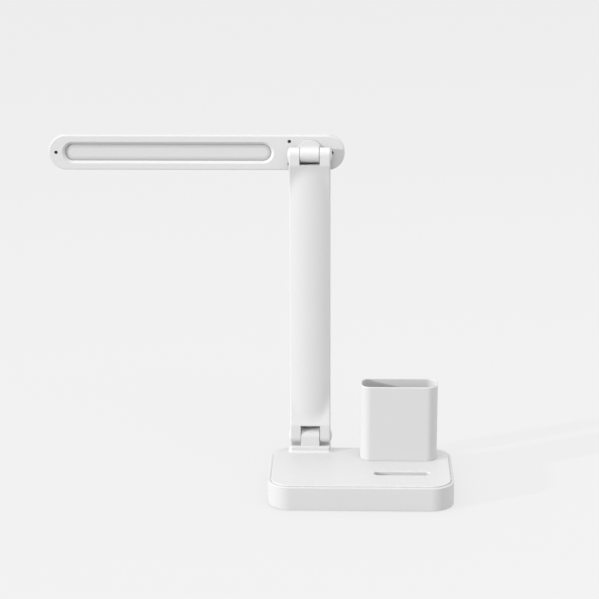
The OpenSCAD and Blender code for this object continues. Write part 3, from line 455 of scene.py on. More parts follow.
def make_finishes():
    """One material for each of the record's slots."""
    plastic, metal = moulded_group(), drawn_group()
    along_x, along_z = (0.06, 1.0, 1.0), (1.0, 1.0, 0.05)
    for name, light, dark, roughness, depth in (
        ("white_housing", 0.86, 0.835, 0.4, 0.02),
        ("white_cover", 0.885, 0.865, 0.36, 0.016),
        ("white_cup", 0.84, 0.815, 0.38, 0.018),
    ):
        white = tones(grey(light), grey(dark), Roughness=roughness)
        finish(name, plastic, white, depth, passed_on=DULL)
    for name, light, dark, squeeze, roughness, depth in (
        ("zinc_steel", rgb(0.66, 0.67, 0.69), rgb(0.46, 0.47, 0.5), along_z, 0.28, 0.01),
        ("raw_steel", rgb(0.58, 0.58, 0.6), rgb(0.36, 0.36, 0.38), along_z, 0.36, 0.012),
        ("spring_steel", rgb(0.42, 0.44, 0.5), rgb(0.24, 0.24, 0.27), along_x, 0.3, 0.01),
        ("socket_steel", rgb(0.68, 0.69, 0.71), rgb(0.5, 0.51, 0.54), along_x, 0.24, 0.01),
        ("copper_foil", rgb(0.8, 0.5, 0.34), rgb(0.55, 0.3, 0.2), along_x, 0.25, 0.015),
    ):
        bare = tones(light, dark, Squeeze=squeeze, Roughness=roughness)
        finish(name, metal, bare, depth, Metallic=1.0)
    finish(
        "dark_steel", metal,
        tones(rgb(0.16, 0.16, 0.17), rgb(0.05, 0.05, 0.055), Squeeze=along_z, Roughness=0.4),
        0.01, Metallic=0.6,
    )
    finish("white_inner", plastic, tones(grey(0.85), grey(0.82), Roughness=0.5), 0.02)
    finish(
        "grey_rubber", plastic,
        tones(grey(0.44), grey(0.36), Grain=1400.0, Peel=420.0, Roughness=0.75), 0.05,
    )
    finish(
        "cell_wrap", plastic,
        tones(rgb(0.3, 0.37, 0.46), rgb(0.24, 0.3, 0.38), Grain=900.0, Roughness=0.42), 0.05,
    )
    finish("black_plastic", plastic, tones(grey(0.05), grey(0.03), Roughness=0.5), 0.03)
    finish(
        "green_board", metal,
        tones(
            rgb(0.06, 0.24, 0.12), rgb(0.03, 0.14, 0.07), Squeeze=(0.3, 1.0, 1.0), Roughness=0.3
        ),
        0.02, Coat_Weight=0.5,
    )
    finish(
        "white_board", plastic, tones(grey(0.86, 0.01), grey(0.8, 0.02), Roughness=0.35), 0.02
    )
    finish(
        "red_wire", plastic, tones(rgb(0.55, 0.06, 0.05), rgb(0.4, 0.03, 0.03), Roughness=0.45),
        0.02,
    )
    finish("white_wire", plastic, tones(grey(0.82), grey(0.74), Roughness=0.45), 0.02)
    finish(
        "milky_pane", plastic,
        tones(grey(0.86), grey(0.84), Grain=1800.0, Peel=160.0, Roughness=0.28), 0.008,
    )
    finish(
        "led_phosphor", plastic,
        tones(rgb(0.88, 0.74, 0.22), rgb(0.8, 0.62, 0.15), Grain=5000.0, Roughness=0.5), 0.02,
    )
    # paints shade onto the milky pane towards its edge
    painted_pane_edge_shade(FINISH["milky_pane"], PAINTED_PANE_SHADE, PAINTED_SHADE_REACH)


def finish_cad_nodes():
    """Gives every CAD node its slot's finish, also those that a piece stands for."""
    for node, piece in frame["nodes"].items():
        piece.data.materials.clear()
        piece.data.materials.append(FINISH[SLOT_OF[node]])


# ---- base ----

RIM_Z = BASE_TOP - 1.0
LEDGE_Z, LEDGE_IN = 17.8, 4.8
PLATE_Z, PLATE_LAP = 0.8, 1.4
NOTCH_GAP = 0.2
PORT_HALF_W, PORT_R, PORT_Z = 4.8, 1.9, 10.8


def make_housing():
    """Outer wall: a closed wall section carried round the base's outline, with a notch for
    the hinge pad and an opening for the charging socket."""
    wall = softened(
        [
            (0, PLATE_Z, 0.4), (0, RIM_Z, 0.7), (-BASE_WALL, RIM_Z, 0.2),
            (-BASE_WALL, COVER_Z, 0), (-LEDGE_IN, COVER_Z, 0.2), (-LEDGE_IN, LEDGE_Z, 0.2),
            (-BASE_WALL, LEDGE_Z, 0), (-BASE_WALL, PLATE_TOP, 0), (-PLATE_LAP, PLATE_TOP, 0),
            (-PLATE_LAP, PLATE_Z, 0.2),
        ],
        closed=True,
    )
    housing = carried(round_outline(BASE_W, BASE_D, BASE_R), wall, closed=True)
    back, half = BASE_D / 2, PAD_W / 2 + NOTCH_GAP
    notch = block((HINGE_X - half, back - 4, COVER_Z), (HINGE_X + half, back + 2, BASE_TOP + 1.6))
    port = carried(
        stadium(-PORT_HALF_W, PORT_HALF_W, PORT_R, PORT_Z, 12),
        [(0, back - 4), (0, back - 0.5), (0.15, back - 0.25), (0.5, back + 0.01),
         (0.5, back + 1)],
        "xz",
    )
    cut(housing, notch, port)
    return finished(housing, "housing_wall", "base", ["base_housing"])


TONGUE_EDGE = 0.5


def tongue(axis_z, start, feet, foot_normals):
    """Hinge tongue: half a circle round the hinge's axis in y and z, from the angle start, and
    straight sides down to the feet, carried across with both side edges rounded."""
    angle = np.linspace(start, start + math.pi, 25)
    normal = np.stack([np.cos(angle), np.sin(angle)], -1)
    point = np.array([HINGE_Y, axis_z]) + BARREL_R * normal
    outline = np.concatenate([point, feet]), np.concatenate([normal, foot_normals])
    x0, x1, r = HINGE_X - TONGUE_W / 2, HINGE_X + TONGUE_W / 2, TONGUE_EDGE
    across = softened([(-3 * r, x0, 0), (0, x0, r), (0, x1, r), (-3 * r, x1, 0)])
    return carried(outline, across, "yz")


COVER_IN = BASE_WALL + 0.2
PAD_D, PAD_R, PAD_Y = 15.0, 2.0, 39.5
COVE_R, COVE_BACK, COVE_FOOT = 2.2, 43.2, 21.6
GROOVE_X, GROOVE_Y = 35.6, -15.6
GROOVE_HALF_L, GROOVE_HALF_W = 24.5, 3.8
GROOVE_FLOOR, GROOVE_LIP = 15.9, 0.6
TROUGH_WALL, TROUGH_Z = 1.6, 14.3
BOSS_SPOTS = [(x, y) for x in (-66, 66) for y in (-31, 31)]
BOSS_R, BOSS_HOLE_TOP = 3.5, 14.2
WIRE_HOLE_R = 1.1


def hinge_pad(line):
    """The hinge pad: upright sides and a rounded top edge, carried round its line."""
    side = [(-0.2, COVER_Z, 0), (0, COVER_Z, 0), (0, PAD_TOP, 1.2), (0.1 - PAD_R, PAD_TOP, 0)]
    return carried(line, softened(side, n=8))


def pad_cove(line):
    """Cove round the pad's foot: nearly a quarter circle, from just above the base's top to
    the pad's side, which it touches. It stops short of the base's back edge."""
    turn = np.radians(np.linspace(-98, -180, 14))
    cove = COVE_R * np.stack([1 + np.cos(turn), 1 + np.sin(turn)], -1) + [0, BASE_TOP]
    foot = [(-1, COVE_FOOT), (cove[0, 0], COVE_FOOT)]
    skirt = carried(line, np.concatenate([foot, cove, [(-1, cove[-1, 1])]]), closed=True)
    return cut(skirt, block((HINGE_X - 30, COVE_BACK, 20), (HINGE_X + 30, 60, 30)))


def groove_line(wall=0.0):
    """Outline of the phone groove, or of a wall around it."""
    half = GROOVE_HALF_L + wall
    return stadium(GROOVE_X - half, GROOVE_X + half, GROOVE_HALF_W + wall, GROOVE_Y)


def phone_groove():
    """Cutter for the phone groove: a floor with a round corner, an upright side, and a lip
    that turns outwards through most of a quarter circle."""
    turn = np.radians(np.linspace(0, 80, 7))[1:]
    lip_foot = BASE_TOP - GROOVE_LIP
    lip_x = GROOVE_LIP - GROOVE_LIP * np.cos(turn)
    lip = np.stack([lip_x, lip_foot + GROOVE_LIP * np.sin(turn)], -1)
    side = softened([(-3.0, GROOVE_FLOOR, 0), (0, GROOVE_FLOOR, 1.2), (0, lip_foot, 0)])
    return carried(groove_line(), np.concatenate([side, lip, [(lip_x[-1], BASE_TOP + 1)]]))


def make_top_cover():
    """Inset cover: a plate with the hinge pad and its cove, the tongue, the phone groove with
    its trough, and the screw bosses."""
    plate = carried(
        round_outline(BASE_W - 2 * COVER_IN, BASE_D - 2 * COVER_IN, BASE_R - COVER_IN),
        softened([(-0.2, COVER_Z, 0), (0, COVER_Z, 0), (0, BASE_TOP, 0.5), (-1, BASE_TOP, 0)]),
    )
    pad_line = round_outline(PAD_W, PAD_D, PAD_R, (HINGE_X, PAD_Y), 8)
    root = PAD_TOP - 1
    feet = [[HINGE_Y - BARREL_R, root], [HINGE_Y + BARREL_R, root]]
    stem = tongue(HINGE_Z, 0, feet, [[-1, 0], [1, 0]])
    side = [(-1, TROUGH_Z), (0, TROUGH_Z), (0, COVER_Z + 1)]
    trough = carried(groove_line(TROUGH_WALL), side)
    add(plate, hinge_pad(pad_line), pad_cove(pad_line), stem, trough)
    for at in BOSS_SPOTS:
        add(plate, rod(at, BOSS_R, PLATE_TOP, COVER_Z + 0.2, "xy"))
        cut(plate, rod(at, SCREW_HOLE_R, PLATE_TOP - 1.2, BOSS_HOLE_TOP, "xy", 24))
    under, over = COVER_Z - 1, BASE_TOP + 1
    cut(
        plate, phone_groove(),
        *[rod(at, SCREW_HOLE_R, under, over, "xy", 24) for at in CUP_SCREWS],
        pin_bore(HINGE_Z, 10),
        rod((HINGE_X, HINGE_Y), WIRE_HOLE_R, under, HINGE_Z, "xy", 24),
    )
    return finished(plate, "top_cover_skin", "base", ["base_top_cover"])


CUP_W, CUP_D, CUP_R, CUP_TOP = 67.7, 25.5, 9.5, 90.7
CUP_WALL, CUP_FLOOR, CUP_HOLE_TOP = 1.8, 26.8, 25.4


def make_pen_cup():
    """Cup: one wall section from the foot, over the rounded lip and down to the inner floor,
    carried round the cup's outline."""
    section = softened(
        [
            (-3, BASE_TOP, 0), (0, BASE_TOP, 0.4), (0, CUP_TOP, 0.75),
            (-CUP_WALL, CUP_TOP, 0.75), (-CUP_WALL, CUP_FLOOR, 1.6), (-6, CUP_FLOOR, 0),
        ],
        n=8,
    )
    cup = carried(round_outline(CUP_W, CUP_D, CUP_R, (CUP_X, CUP_Y)), section)
    cut(cup, *[rod(at, SCREW_HOLE_R, 21.0, CUP_HOLE_TOP, "xy", 24) for at in CUP_SCREWS])
    return finished(cup, "pen_cup_skin", "base", ["pen_cup"])


FOOT_R, FOOT_H = 5.5, 1.8
SOLE_R, SOLE_SINK = 3.5, 0.25
FOOT_SPOTS = [(0, 0)] + [(x, y) for x in (-53, 53) for y in (-33.5, 33.5)]


def make_feet():
    """Rubber feet: a disc with a rounded edge and a shallow round hollow in its sole."""
    section = softened(
        [(0, SOLE_SINK, 0), (SOLE_R - 0.3, SOLE_SINK, 0.2), (SOLE_R, 0, 0.3), (FOOT_R, 0, 0.5),
         (FOOT_R, FOOT_H, 0.1), (0, FOOT_H, 0)],
        n=5,
    )
    feet = [turned(section, at, "xy", 40) for at in FOOT_SPOTS]
    add(*feet)
    return finished(feet[0], "feet_rubber", "base", ["rubber_feet"])


# ---- arm ----

FRONT_BULGE, BACK_BULGE = 4.2, 1.0
ARM_FRONT, ARM_BACK = 5.0, 4.2
ARM_EDGE, ARM_WALL = 1.1, 1.8
FLARE_L, FLARE_START, FLARE_SINK = 36.0, 0.5, 0.06
CREASE_BLEND = 1.4
LOWER_ROOT, UPPER_ROOT = 11.0, 7.8
SPLIT_Y = 2.0
COVER_SETBACK, CAVITY_SETBACK = 6, 4
COVER_LO = LOWER_ROOT + FLARE_L + COVER_SETBACK
COVER_HI = ARM_L - UPPER_ROOT - FLARE_L - COVER_SETBACK


def arc_height(x, out, bulge, inset=0.0):
    """Height of a shallow circular arc over the hinge axis plane: it stands out by out at the
    middle and has fallen by bulge at the arm's sides. An inset draws it in by a wall."""
    r = ((ARM_W / 2) ** 2 + bulge**2) / (2 * bulge)
    return np.sqrt((r - inset) ** 2 - x**2) - (r - out)


def flare_height(z, rise):
    """Height of the concave sweep at each end: the barrel's radius up to the root, then a
    circle that falls by rise and ends level; between the ends it is the lower one."""
    length = FLARE_L - FLARE_START
    r = (length**2 + rise**2) / (2 * rise)
    heights = []
    for root, away in ((LOWER_ROOT, z), (UPPER_ROOT, ARM_L - z)):
        left = np.clip(root + FLARE_L - away, 0, length)
        heights.append(BARREL_R - rise + r - np.sqrt(r**2 - left**2))
    return np.maximum(*heights)


def arm_height(x, z, out, bulge):
    """The higher of the arc and the flare, with the crease between them filled: where they
    are nearer to each other than the blend, a parabola of the difference is added."""
    arc_h = arc_height(x, out, bulge)
    flare_h = flare_height(z, BARREL_R - out + bulge + FLARE_SINK)
    near = np.clip(1 - np.abs(arc_h - flare_h) / CREASE_BLEND, 0, 1)
    return np.maximum(arc_h, flare_h) + near**2 * CREASE_BLEND / 4


def arm_body():
    """The arm's whole outer form: side outlines in y and z, one for each x, whose front and
    back are arm_height() and whose ends are the barrels' half circles. Towards the arm's
    sides the outline shrinks along its own normals by a quarter circle."""
    flat = ARM_W / 2 - ARM_EDGE
    turn = np.radians(np.linspace(0, 90, 8))[1:]
    edge_x, edge_in = flat + ARM_EDGE * np.sin(turn), ARM_EDGE * (1 - np.cos(turn))
    xs = np.concatenate([-edge_x[::-1], np.linspace(-flat, flat, 35), edge_x])
    inward = np.concatenate([edge_in[::-1], np.zeros(35), edge_in])
    stops = [0, LOWER_ROOT, COVER_LO, COVER_HI, ARM_L - UPPER_ROOT, ARM_L]
    rows = [8, 44, 12, 44, 6]
    stretches = [np.linspace(a, b, n)[:-1] for a, b, n in zip(stops, stops[1:], rows)]
    z = np.concatenate([*stretches, [ARM_L]])
    front = -arm_height(xs[:, None], z[None], ARM_FRONT, FRONT_BULGE)
    back = arm_height(xs[:, None], z[None], ARM_BACK, BACK_BULGE)
    turn = np.linspace(0, math.pi, 26)[1:-1]
    end_y, end_z = BARREL_R * np.cos(turn), BARREL_R * np.sin(turn)
    ones = np.ones((len(xs), 1))
    y = np.concatenate([front, -end_y * ones, back[:, ::-1], end_y * ones], 1)
    up = np.concatenate([z, ARM_L + end_z, z[::-1], -end_z]) * ones
    along_y = np.roll(y, -1, 1) - np.roll(y, 1, 1)
    along_z = np.roll(up, -1, 1) - np.roll(up, 1, 1)
    size = np.hypot(along_y, along_z)
    y = y + along_z / size * inward[:, None]
    up = up - along_y / size * inward[:, None]
    verts = np.dstack([np.broadcast_to(xs[:, None], y.shape), y, up])
    verts = verts + np.array([HINGE_X, HINGE_Y, HINGE_Z])
    return grid_solid(verts.transpose(1, 0, 2))


def arm_cavity():
    """Space inside the arm: the oval section drawn in by the wall, carried up the arm."""
    x = np.linspace(-(ARM_W / 2 - ARM_WALL), ARM_W / 2 - ARM_WALL, 40)
    front = -arc_height(x, ARM_FRONT, FRONT_BULGE, ARM_WALL)
    back = arc_height(x, ARM_BACK, BACK_BULGE, ARM_WALL)
    line = np.concatenate([np.stack([x, front], -1), np.stack([x, back], -1)[::-1]])
    line = line + np.array([HINGE_X, HINGE_Y])
    low, high = LOWER_ROOT + CAVITY_SETBACK, UPPER_ROOT + CAVITY_SETBACK
    return carried((line, np.zeros_like(line)), [(0, HINGE_Z + low), (0, HEAD_Z - high)])


FORK_BACK_Y, FORK_BACK_Z = 2.4, 4.2


def fork_slots():
    """Cutters for the slots between the ears. The lower slot stops at a wall that closes its
    back and leaves the tongue's round top free."""
    half = TONGUE_W / 2 + EAR_GAP
    low = block((HINGE_X - half, 20, HINGE_Z - 12), (HINGE_X + half, 60, HINGE_Z + LOWER_ROOT))
    high = block((HINGE_X - half, 20, HEAD_Z - UPPER_ROOT), (HINGE_X + half, 60, HEAD_Z + 12))
    wall = block(
        (HINGE_X - 15, HINGE_Y + FORK_BACK_Y, HINGE_Z + FORK_BACK_Z),
        (HINGE_X + 15, 70, HINGE_Z + 20),
    )
    swept = BARREL_R + EAR_GAP
    cut(wall, rod((HINGE_Y, HINGE_Z), swept, HINGE_X - 20, HINGE_X + 20, "yz", 64))
    cut(low, wall)
    return low, high


def cover_space(gap=0.0):
    """Block that holds the back cover, longer by a gap at both ends."""
    return block(
        (HINGE_X - 30, HINGE_Y + SPLIT_Y, HINGE_Z + COVER_LO - gap),
        (HINGE_X + 30, HINGE_Y + 12, HINGE_Z + COVER_HI + gap),
    )


ARM_SCREW_X, ARM_SCREW_IN = HINGE_X - 8.5, 12.0
ARM_SCREW_R, ARM_SCREW_HEAD_R, ARM_SCREW_SEAT = 1.2, 2.1, 3.4


def arm_screw_spots():
    """Places of the four screws in x and z, evenly spaced up the back cover."""
    span = COVER_HI - COVER_LO - 2 * ARM_SCREW_IN
    foot = HINGE_Z + COVER_LO + ARM_SCREW_IN
    return [(ARM_SCREW_X, foot + i * span / 3) for i in range(4)]


POCKET_DEPTH = 4.8
COVER_GAP = 0.2


def make_arm():
    """Front shell with the four ears, and the back cover with its countersunk screw holes;
    both are cut from the arm's one outer form."""
    shell = arm_body()
    cover = copy_of(shell)
    cut(shell, *fork_slots(), cover_space(COVER_GAP), arm_cavity())
    pocket = ARM_W / 2 - POCKET_DEPTH
    for z in (HINGE_Z, HEAD_Z):
        cut(
            shell,
            pin_bore(z, 20),
            rod((HINGE_Y, z), POCKET_R, HINGE_X - 20, HINGE_X - pocket, "yz"),
            rod((HINGE_Y, z), POCKET_R, HINGE_X + pocket, HINGE_X + 20, "yz"),
        )
    finished(shell, "arm_front_skin", "arm", ["arm_front_shell"])
    worked(cover, "INTERSECT", cover_space())
    cut(cover, arm_cavity())
    outside = HINGE_Y + 8
    for at in arm_screw_spots():
        cut(
            cover,
            rod(at, ARM_SCREW_R, HINGE_Y, outside, "xz", 24),
            rod(at, ARM_SCREW_HEAD_R, HINGE_Y + ARM_SCREW_SEAT, outside, "xz", 32),
        )
    return finished(cover, "arm_back_skin", "arm", ["arm_back_cover"])


CAP_R, CAP_RISE = 5.3, 1.5


def make_hinge_caps(z, name, node):
    """Pair of pocket caps: a low dome that rises by a circle's sagitta, its rim slightly
    rounded, over a short plug."""
    ball = (CAP_R**2 + CAP_RISE**2) / (2 * CAP_RISE)
    out = np.linspace(CAP_R, 0, 14)[1:]
    dome = np.stack([out, np.sqrt(ball**2 - out**2) - (ball - CAP_RISE)], -1)
    plug_r = POCKET_R - 0.05
    rim = [(0, -1), (plug_r, -1), (plug_r, 0), (CAP_R - 0.1, 0), (CAP_R, 0.05)]
    section = np.concatenate([rim, dome])
    caps = []
    for side in (-1, 1):
        profile = np.stack([section[:, 0], HINGE_X + side * (ARM_W / 2 + section[:, 1])], -1)
        caps.append(turned(profile, (HINGE_Y, z), "yz", 56))
    add(*caps)
    return finished(caps[0], name, "arm", [node])


# ---- head ----

KNUCKLE_ROOT = 7.2
FLANGE_Y, FLANGE_BACK, STEM_END = 45.9, 47.9, 51.7
RETAINER_SCREW_Z = 4
STEM_WIRE_R = 2.0


def make_knuckle():
    """Tongue between the upper ears, with the round swivel flange and the hollow stem."""
    root = HINGE_Y + KNUCKLE_ROOT
    knuckle = tongue(
        HEAD_Z, math.pi / 2,
        [[root, HEAD_Z - BARREL_R], [root, HEAD_Z + BARREL_R]], [[0, -1], [0, 1]],
    )
    at = (HINGE_X, HEAD_Z)
    flange = turned(
        softened(
            [(0, FLANGE_Y, 0), (FLANGE_R, FLANGE_Y, 0.5), (FLANGE_R, FLANGE_BACK, 0.3),
             (STEM_R, FLANGE_BACK, 0), (STEM_R, STEM_END, 0), (0, STEM_END, 0)]
        ),
        at, "xz", 72,
    )
    add(knuckle, flange)
    cut(
        knuckle,
        pin_bore(HEAD_Z, 10),
        rod(at, STEM_WIRE_R, HINGE_Y, 53, "xz", 32),
        rod((HINGE_X, HEAD_Z + RETAINER_SCREW_Z), FINE_HOLE_R, FACE_Y, 53, "xz", 20),
        rod((HINGE_X, HEAD_Z - RETAINER_SCREW_Z), FINE_HOLE_R, FACE_Y, 53, "xz", 20),
    )
    return finished(knuckle, "knuckle_skin", "knuckle", ["head_knuckle"])


def bar_line():
    """Outline of the light bar in x and z."""
    return stadium(BAR_X0, BAR_X1, BAR_R, HEAD_Z, 28)


FACE_EDGE = 1.0
SEAT_GAP, SEAT_DEPTH = 0.1, 1.1
STEM_BOSS_R, STEM_BOSS_END, STEM_GAP = 13.2, 51.0, 0.05
WELL_R, WELL_FLOOR = 1.5, 50.9


def window_cutter():
    """Window opening: its edge on the face is slightly rounded, then it bevels inwards."""
    return carried(
        stadium(WINDOW_X0, WINDOW_X1, WINDOW_W / 2, HEAD_Z, 28),
        [(0.4, FACE_Y - 1), (0.4, FACE_Y), (0.12, FACE_Y + 0.06), (-0.1, FACE_Y + 0.2),
         (-WINDOW_BEVEL, FACE_Y + WINDOW_BEVEL), (-WINDOW_BEVEL, FACE_Y + 4)],
        "xz",
    )


def screw_well(spot):
    """Round well that a face screw sinks into, with a slightly rounded mouth."""
    mouth = WELL_R + 0.25
    section = [
        (0, FACE_Y - 1), (mouth, FACE_Y - 1), (mouth, FACE_Y), (WELL_R + 0.1, FACE_Y + 0.06),
        (WELL_R, FACE_Y + 0.25), (WELL_R, WELL_FLOOR), (0, WELL_FLOOR),
    ]
    return turned(section, spot, "xz", 32)


def make_face():
    """Face of the light bar: a shallow tray with a rounded front edge, its bevelled window,
    the seat of the swivel flange, the boss around the stem and the screw wells."""
    face = carried(
        bar_line(),
        softened(
            [(-4, FACE_Y, 0), (0, FACE_Y, FACE_EDGE), (0, RIM_Y, RIM_EDGE),
             (-BAR_WALL, RIM_Y, 0), (-BAR_WALL, FACE_BACK, 0), (-4, FACE_BACK, 0)],
            n=8,
        ),
        "xz",
    )
    at, inner = (HINGE_X, HEAD_Z), FACE_BACK - 0.1
    add(face, rod(at, STEM_BOSS_R, inner, STEM_BOSS_END, "xz", 64))
    for spot in FACE_SCREWS:
        add(face, rod(spot, POST_R, inner, POST_SPLIT, "xz", 32))
    seat = rod(at, FLANGE_R + SEAT_GAP, FACE_Y - 1, FACE_Y + SEAT_DEPTH, "xz", 72)
    cut(face, window_cutter(), seat, rod(at, STEM_R + STEM_GAP, FACE_Y, 53, "xz", 48))
    for spot in FACE_SCREWS:
        cut(face, screw_well(spot), rod(spot, FINE_HOLE_R, FACE_Y, 59, "xz", 20))
    return finished(face, "bar_face_skin", "head", ["head_face"])


BACK_EDGE = 3.0
RIBS, RIB_IN, RIB_HALF_W, RIB_HALF_H = 5, 14, 0.7, 13.6


def make_back_cover():
    """Back of the light bar: a deep tray with a rounded back edge, posts for the face's
    screws and ribs behind the light board."""
    inner = BACK_Y - BAR_WALL
    back = carried(
        bar_line(),
        softened(
            [(-5, inner, 0), (-BAR_WALL, inner, 0.8), (-BAR_WALL, RIM_Y, 0),
             (0, RIM_Y, RIM_EDGE), (0, BACK_Y, BACK_EDGE), (-6, BACK_Y, 0)],
            n=12,
        ),
        "xz",
    )
    for spot in FACE_SCREWS:
        add(back, rod(spot, POST_R, POST_SPLIT, inner + 0.2, "xz", 32))
        cut(back, rod(spot, FINE_HOLE_R, 50, inner, "xz", 20))
    for i in range(RIBS):
        x = WINDOW_X0 + RIB_IN + i * (WINDOW_L - 2 * RIB_IN) / (RIBS - 1)
        rib = block(
            (x - RIB_HALF_W, inner - 1.4, HEAD_Z - RIB_HALF_H),
            (x + RIB_HALF_W, inner + 0.2, HEAD_Z + RIB_HALF_H),
        )
        add(back, rib)
    return finished(back, "bar_back_skin", "head", ["head_back_cover"])


PANE_LAP, PANE_BACK = 1.6, 50.7
PANE_GROOVE_W, PANE_GROOVE_DEPTH = 0.6, 0.5


def make_pane():
    """Milky pane behind the window: a thin stadium slab with softly rounded edges and a fine
    groove along the window's inner edge."""
    floor = FACE_BACK + PANE_GROOVE_DEPTH
    inner = PANE_LAP + PANE_GROOVE_W
    pane = carried(
        stadium(PANE_X0 - PANE_LAP, PANE_X1 + PANE_LAP, PANE_R + PANE_LAP, HEAD_Z, 28),
        softened(
            [(-4, FACE_BACK, 0), (-inner, FACE_BACK, 0.1), (0.15 - inner, floor, 0.1),
             (-PANE_LAP - 0.15, floor, 0.1), (-PANE_LAP, FACE_BACK, 0.1),
             (0, FACE_BACK, 0.25), (0, PANE_BACK, 0.25), (-2, PANE_BACK, 0)],
        ),
        "xz",
    )
    return finished(pane, "milky_pane_slab", "head", ["diffuser"])


# ---- surroundings, in metres ----

BACKDROP = 0.888
FLOOR_GLOW, FLOOR_TINT, FLOOR_BOUNCE = 0.665, 0.23, 0.4
FLOOR_HALF_W = 9.0
DOME = 0.68


def shown_as_backdrop(tree):
    """1 for rays that look at the backdrop itself, from the camera, a gloss or through glass."""
    path = tree.nodes.new("ShaderNodeLightPath")
    seen = path.outputs["Is Camera Ray"]
    for ray in ("Is Glossy Ray", "Is Transmission Ray"):
        either = tree.nodes.new("ShaderNodeMath")
        either.operation = "MAXIMUM"
        tree.links.new(seen, either.inputs[0])
        tree.links.new(path.outputs[ray], either.inputs[1])
        seen = either.outputs[0]
    return seen


def join_looks(tree, output, lighting, seen):
    """Sends one shader to the output for the light it gives and another where it is seen."""
    out = tree.nodes.new(output)
    choose = tree.nodes.new("ShaderNodeMixShader")
    tree.links.new(shown_as_backdrop(tree), choose.inputs[0])
    tree.links.new(lighting.outputs[0], choose.inputs[1])
    tree.links.new(seen.outputs[0], choose.inputs[2])
    tree.links.new(choose.outputs[0], out.inputs["Surface"])


def coloured(tree, kind, tone):
    """Shader node of a plain grey tone."""
    node = tree.nodes.new(kind)
    node.inputs["Color"].default_value = grey(tone)
    return node


def make_floor():
    """Pale floor: seen directly it glows at nearly the backdrop's tone and takes only a faint
    shadow; for the light it is a plain sheet."""
    mesh = bpy.data.meshes.new("floor")
    ring = np.array([[-1, -1, 0], [1, -1, 0], [1, 1, 0], [-1, 1, 0]]) * FLOOR_HALF_W
    mesh.from_pydata(ring.tolist(), [], [[0, 1, 2, 3]])
    floor = bpy.data.objects.new("floor", mesh)
    bpy.context.scene.collection.objects.link(floor)
    material = bpy.data.materials.new("pale_floor")
    material.use_nodes = True
    tree = material.node_tree
    tree.nodes.clear()
    plain = coloured(tree, "ShaderNodeBsdfDiffuse", FLOOR_BOUNCE)
    faint = coloured(tree, "ShaderNodeBsdfDiffuse", FLOOR_TINT)
    glow = coloured(tree, "ShaderNodeEmission", FLOOR_GLOW)
    both = tree.nodes.new("ShaderNodeAddShader")
    tree.links.new(faint.outputs[0], both.inputs[0])
    tree.links.new(glow.outputs[0], both.inputs[1])
    join_looks(tree, "ShaderNodeOutputMaterial", plain, both)
    mesh.materials.append(material)


def make_world():
    """Even dome of soft light, seen directly as the backdrop's pale grey."""
    world = bpy.data.worlds.new("studio")
    bpy.context.scene.world = world
    world.use_nodes = True
    tree = world.node_tree
    tree.nodes.clear()
    soft = coloured(tree, "ShaderNodeBackground", DOME)
    seen = coloured(tree, "ShaderNodeBackground", BACKDROP)
    join_looks(tree, "ShaderNodeOutputWorld", soft, seen)


def aimed(obj, place, target):
    """Puts a lamp at place, turned to face target."""
    obj.location = place
    obj.rotation_euler = (Vector(target) - Vector(place)).to_track_quat("-Z", "Y").to_euler()
    bpy.context.scene.collection.objects.link(obj)


# the key light's strength as a share of pi, and its angles in degrees
SUN_SHARE, SUN_SIDE, SUN_RISE, SUN_SPREAD = 0.56, 64, 12, 2.5
# each soft box's name, power in watts, width and height, and place
SOFT_BOXES = (
    ("overhead", 6.6, (1.6, 1.2), (0, -0.45, 1.65)),
    ("right_fill", 6.0, (1.2, 1.2), (2.5, 0.1, 0.5)),
)


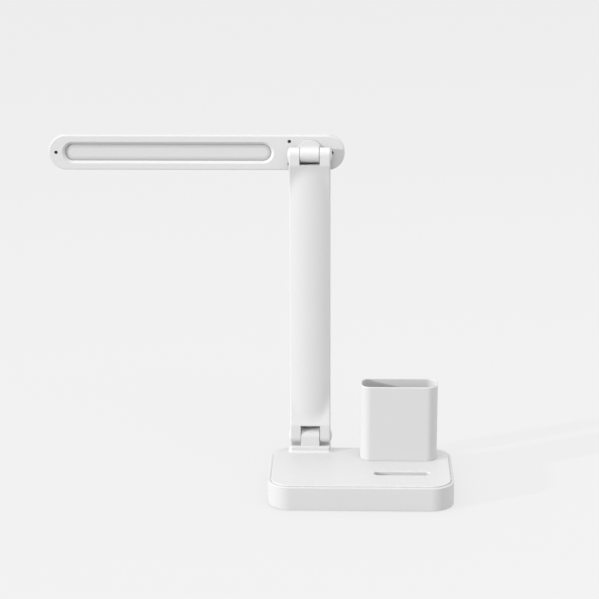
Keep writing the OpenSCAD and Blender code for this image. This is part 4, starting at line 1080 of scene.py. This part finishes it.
def make_lamps():
    """A low key light from the left and somewhat in front, a broad soft box overhead, and a
    weak soft box at the right."""
    key = bpy.data.lights.new("key", "SUN")
    key.energy = SUN_SHARE * math.pi
    key.angle = math.radians(SUN_SPREAD)
    side, rise = math.radians(SUN_SIDE), math.radians(SUN_RISE)
    toward = Vector(
        (-math.sin(side) * math.cos(rise), -math.cos(side) * math.cos(rise), math.sin(rise))
    )
    aimed(bpy.data.objects.new("key", key), toward * 3, (0, 0, 0))
    for name, power, size, place in SOFT_BOXES:
        box = bpy.data.lights.new(name, "AREA")
        box.shape = "RECTANGLE"
        box.size, box.size_y = size
        box.energy = power
        aimed(bpy.data.objects.new(name, box), place, (-0.05, 0, 0.1))


# the point looked at, in millimetres, and the camera's distance from it in metres
VIEW_MIDDLE, VIEW_AWAY = (-52.74, 0.0, 174.03), 1.5
# the view's angles in degrees
VIEW_SIDE, VIEW_RISE, VIEW_ROLL = 1.9, 16.64, -0.28
# the sensor's width in millimetres, then the photograph's width and focal length in pixels
SENSOR = 36.0
PHOTO_PIXELS, FOCAL_PIXELS = 599, 1767.22


def make_camera():
    """The photograph's view: from in front of the lamp, a little to the right and well above
    level, turned by a fraction of a degree. Ahead is the unit vector of the two angles, and
    the roll turns right and up about it."""
    side, rise, roll = np.radians([VIEW_SIDE, VIEW_RISE, VIEW_ROLL])
    ahead = np.array(
        [-math.sin(side) * math.cos(rise), math.cos(side) * math.cos(rise), -math.sin(rise)]
    )
    right = np.array([math.cos(side), math.sin(side), 0.0])
    up = np.cross(right, ahead)
    right, up = (
        right * math.cos(roll) + up * math.sin(roll),
        up * math.cos(roll) - right * math.sin(roll),
    )
    data = bpy.data.cameras.new("view")
    data.sensor_width = SENSOR
    data.lens = SENSOR * FOCAL_PIXELS / PHOTO_PIXELS
    camera = bpy.data.objects.new("view", data)
    turn = Matrix(np.column_stack([right, up, -ahead]).tolist()).to_4x4()
    place = np.array(VIEW_MIDDLE) * MM - ahead * VIEW_AWAY
    camera.matrix_world = Matrix.Translation(Vector(place)) @ turn
    bpy.context.scene.collection.objects.link(camera)
    bpy.context.scene.camera = camera


make_finishes()
make_housing()
make_top_cover()
make_pen_cup()
make_feet()
make_arm()
make_hinge_caps(HINGE_Z, "base_hinge_domes", "base_hinge_caps")
make_hinge_caps(HEAD_Z, "head_hinge_domes", "head_hinge_caps")
make_knuckle()
make_face()
make_back_cover()
make_pane()
finish_cad_nodes()
make_floor()
make_world()
make_lamps()
make_camera()
bpy.context.scene.view_settings.view_transform = "Standard"
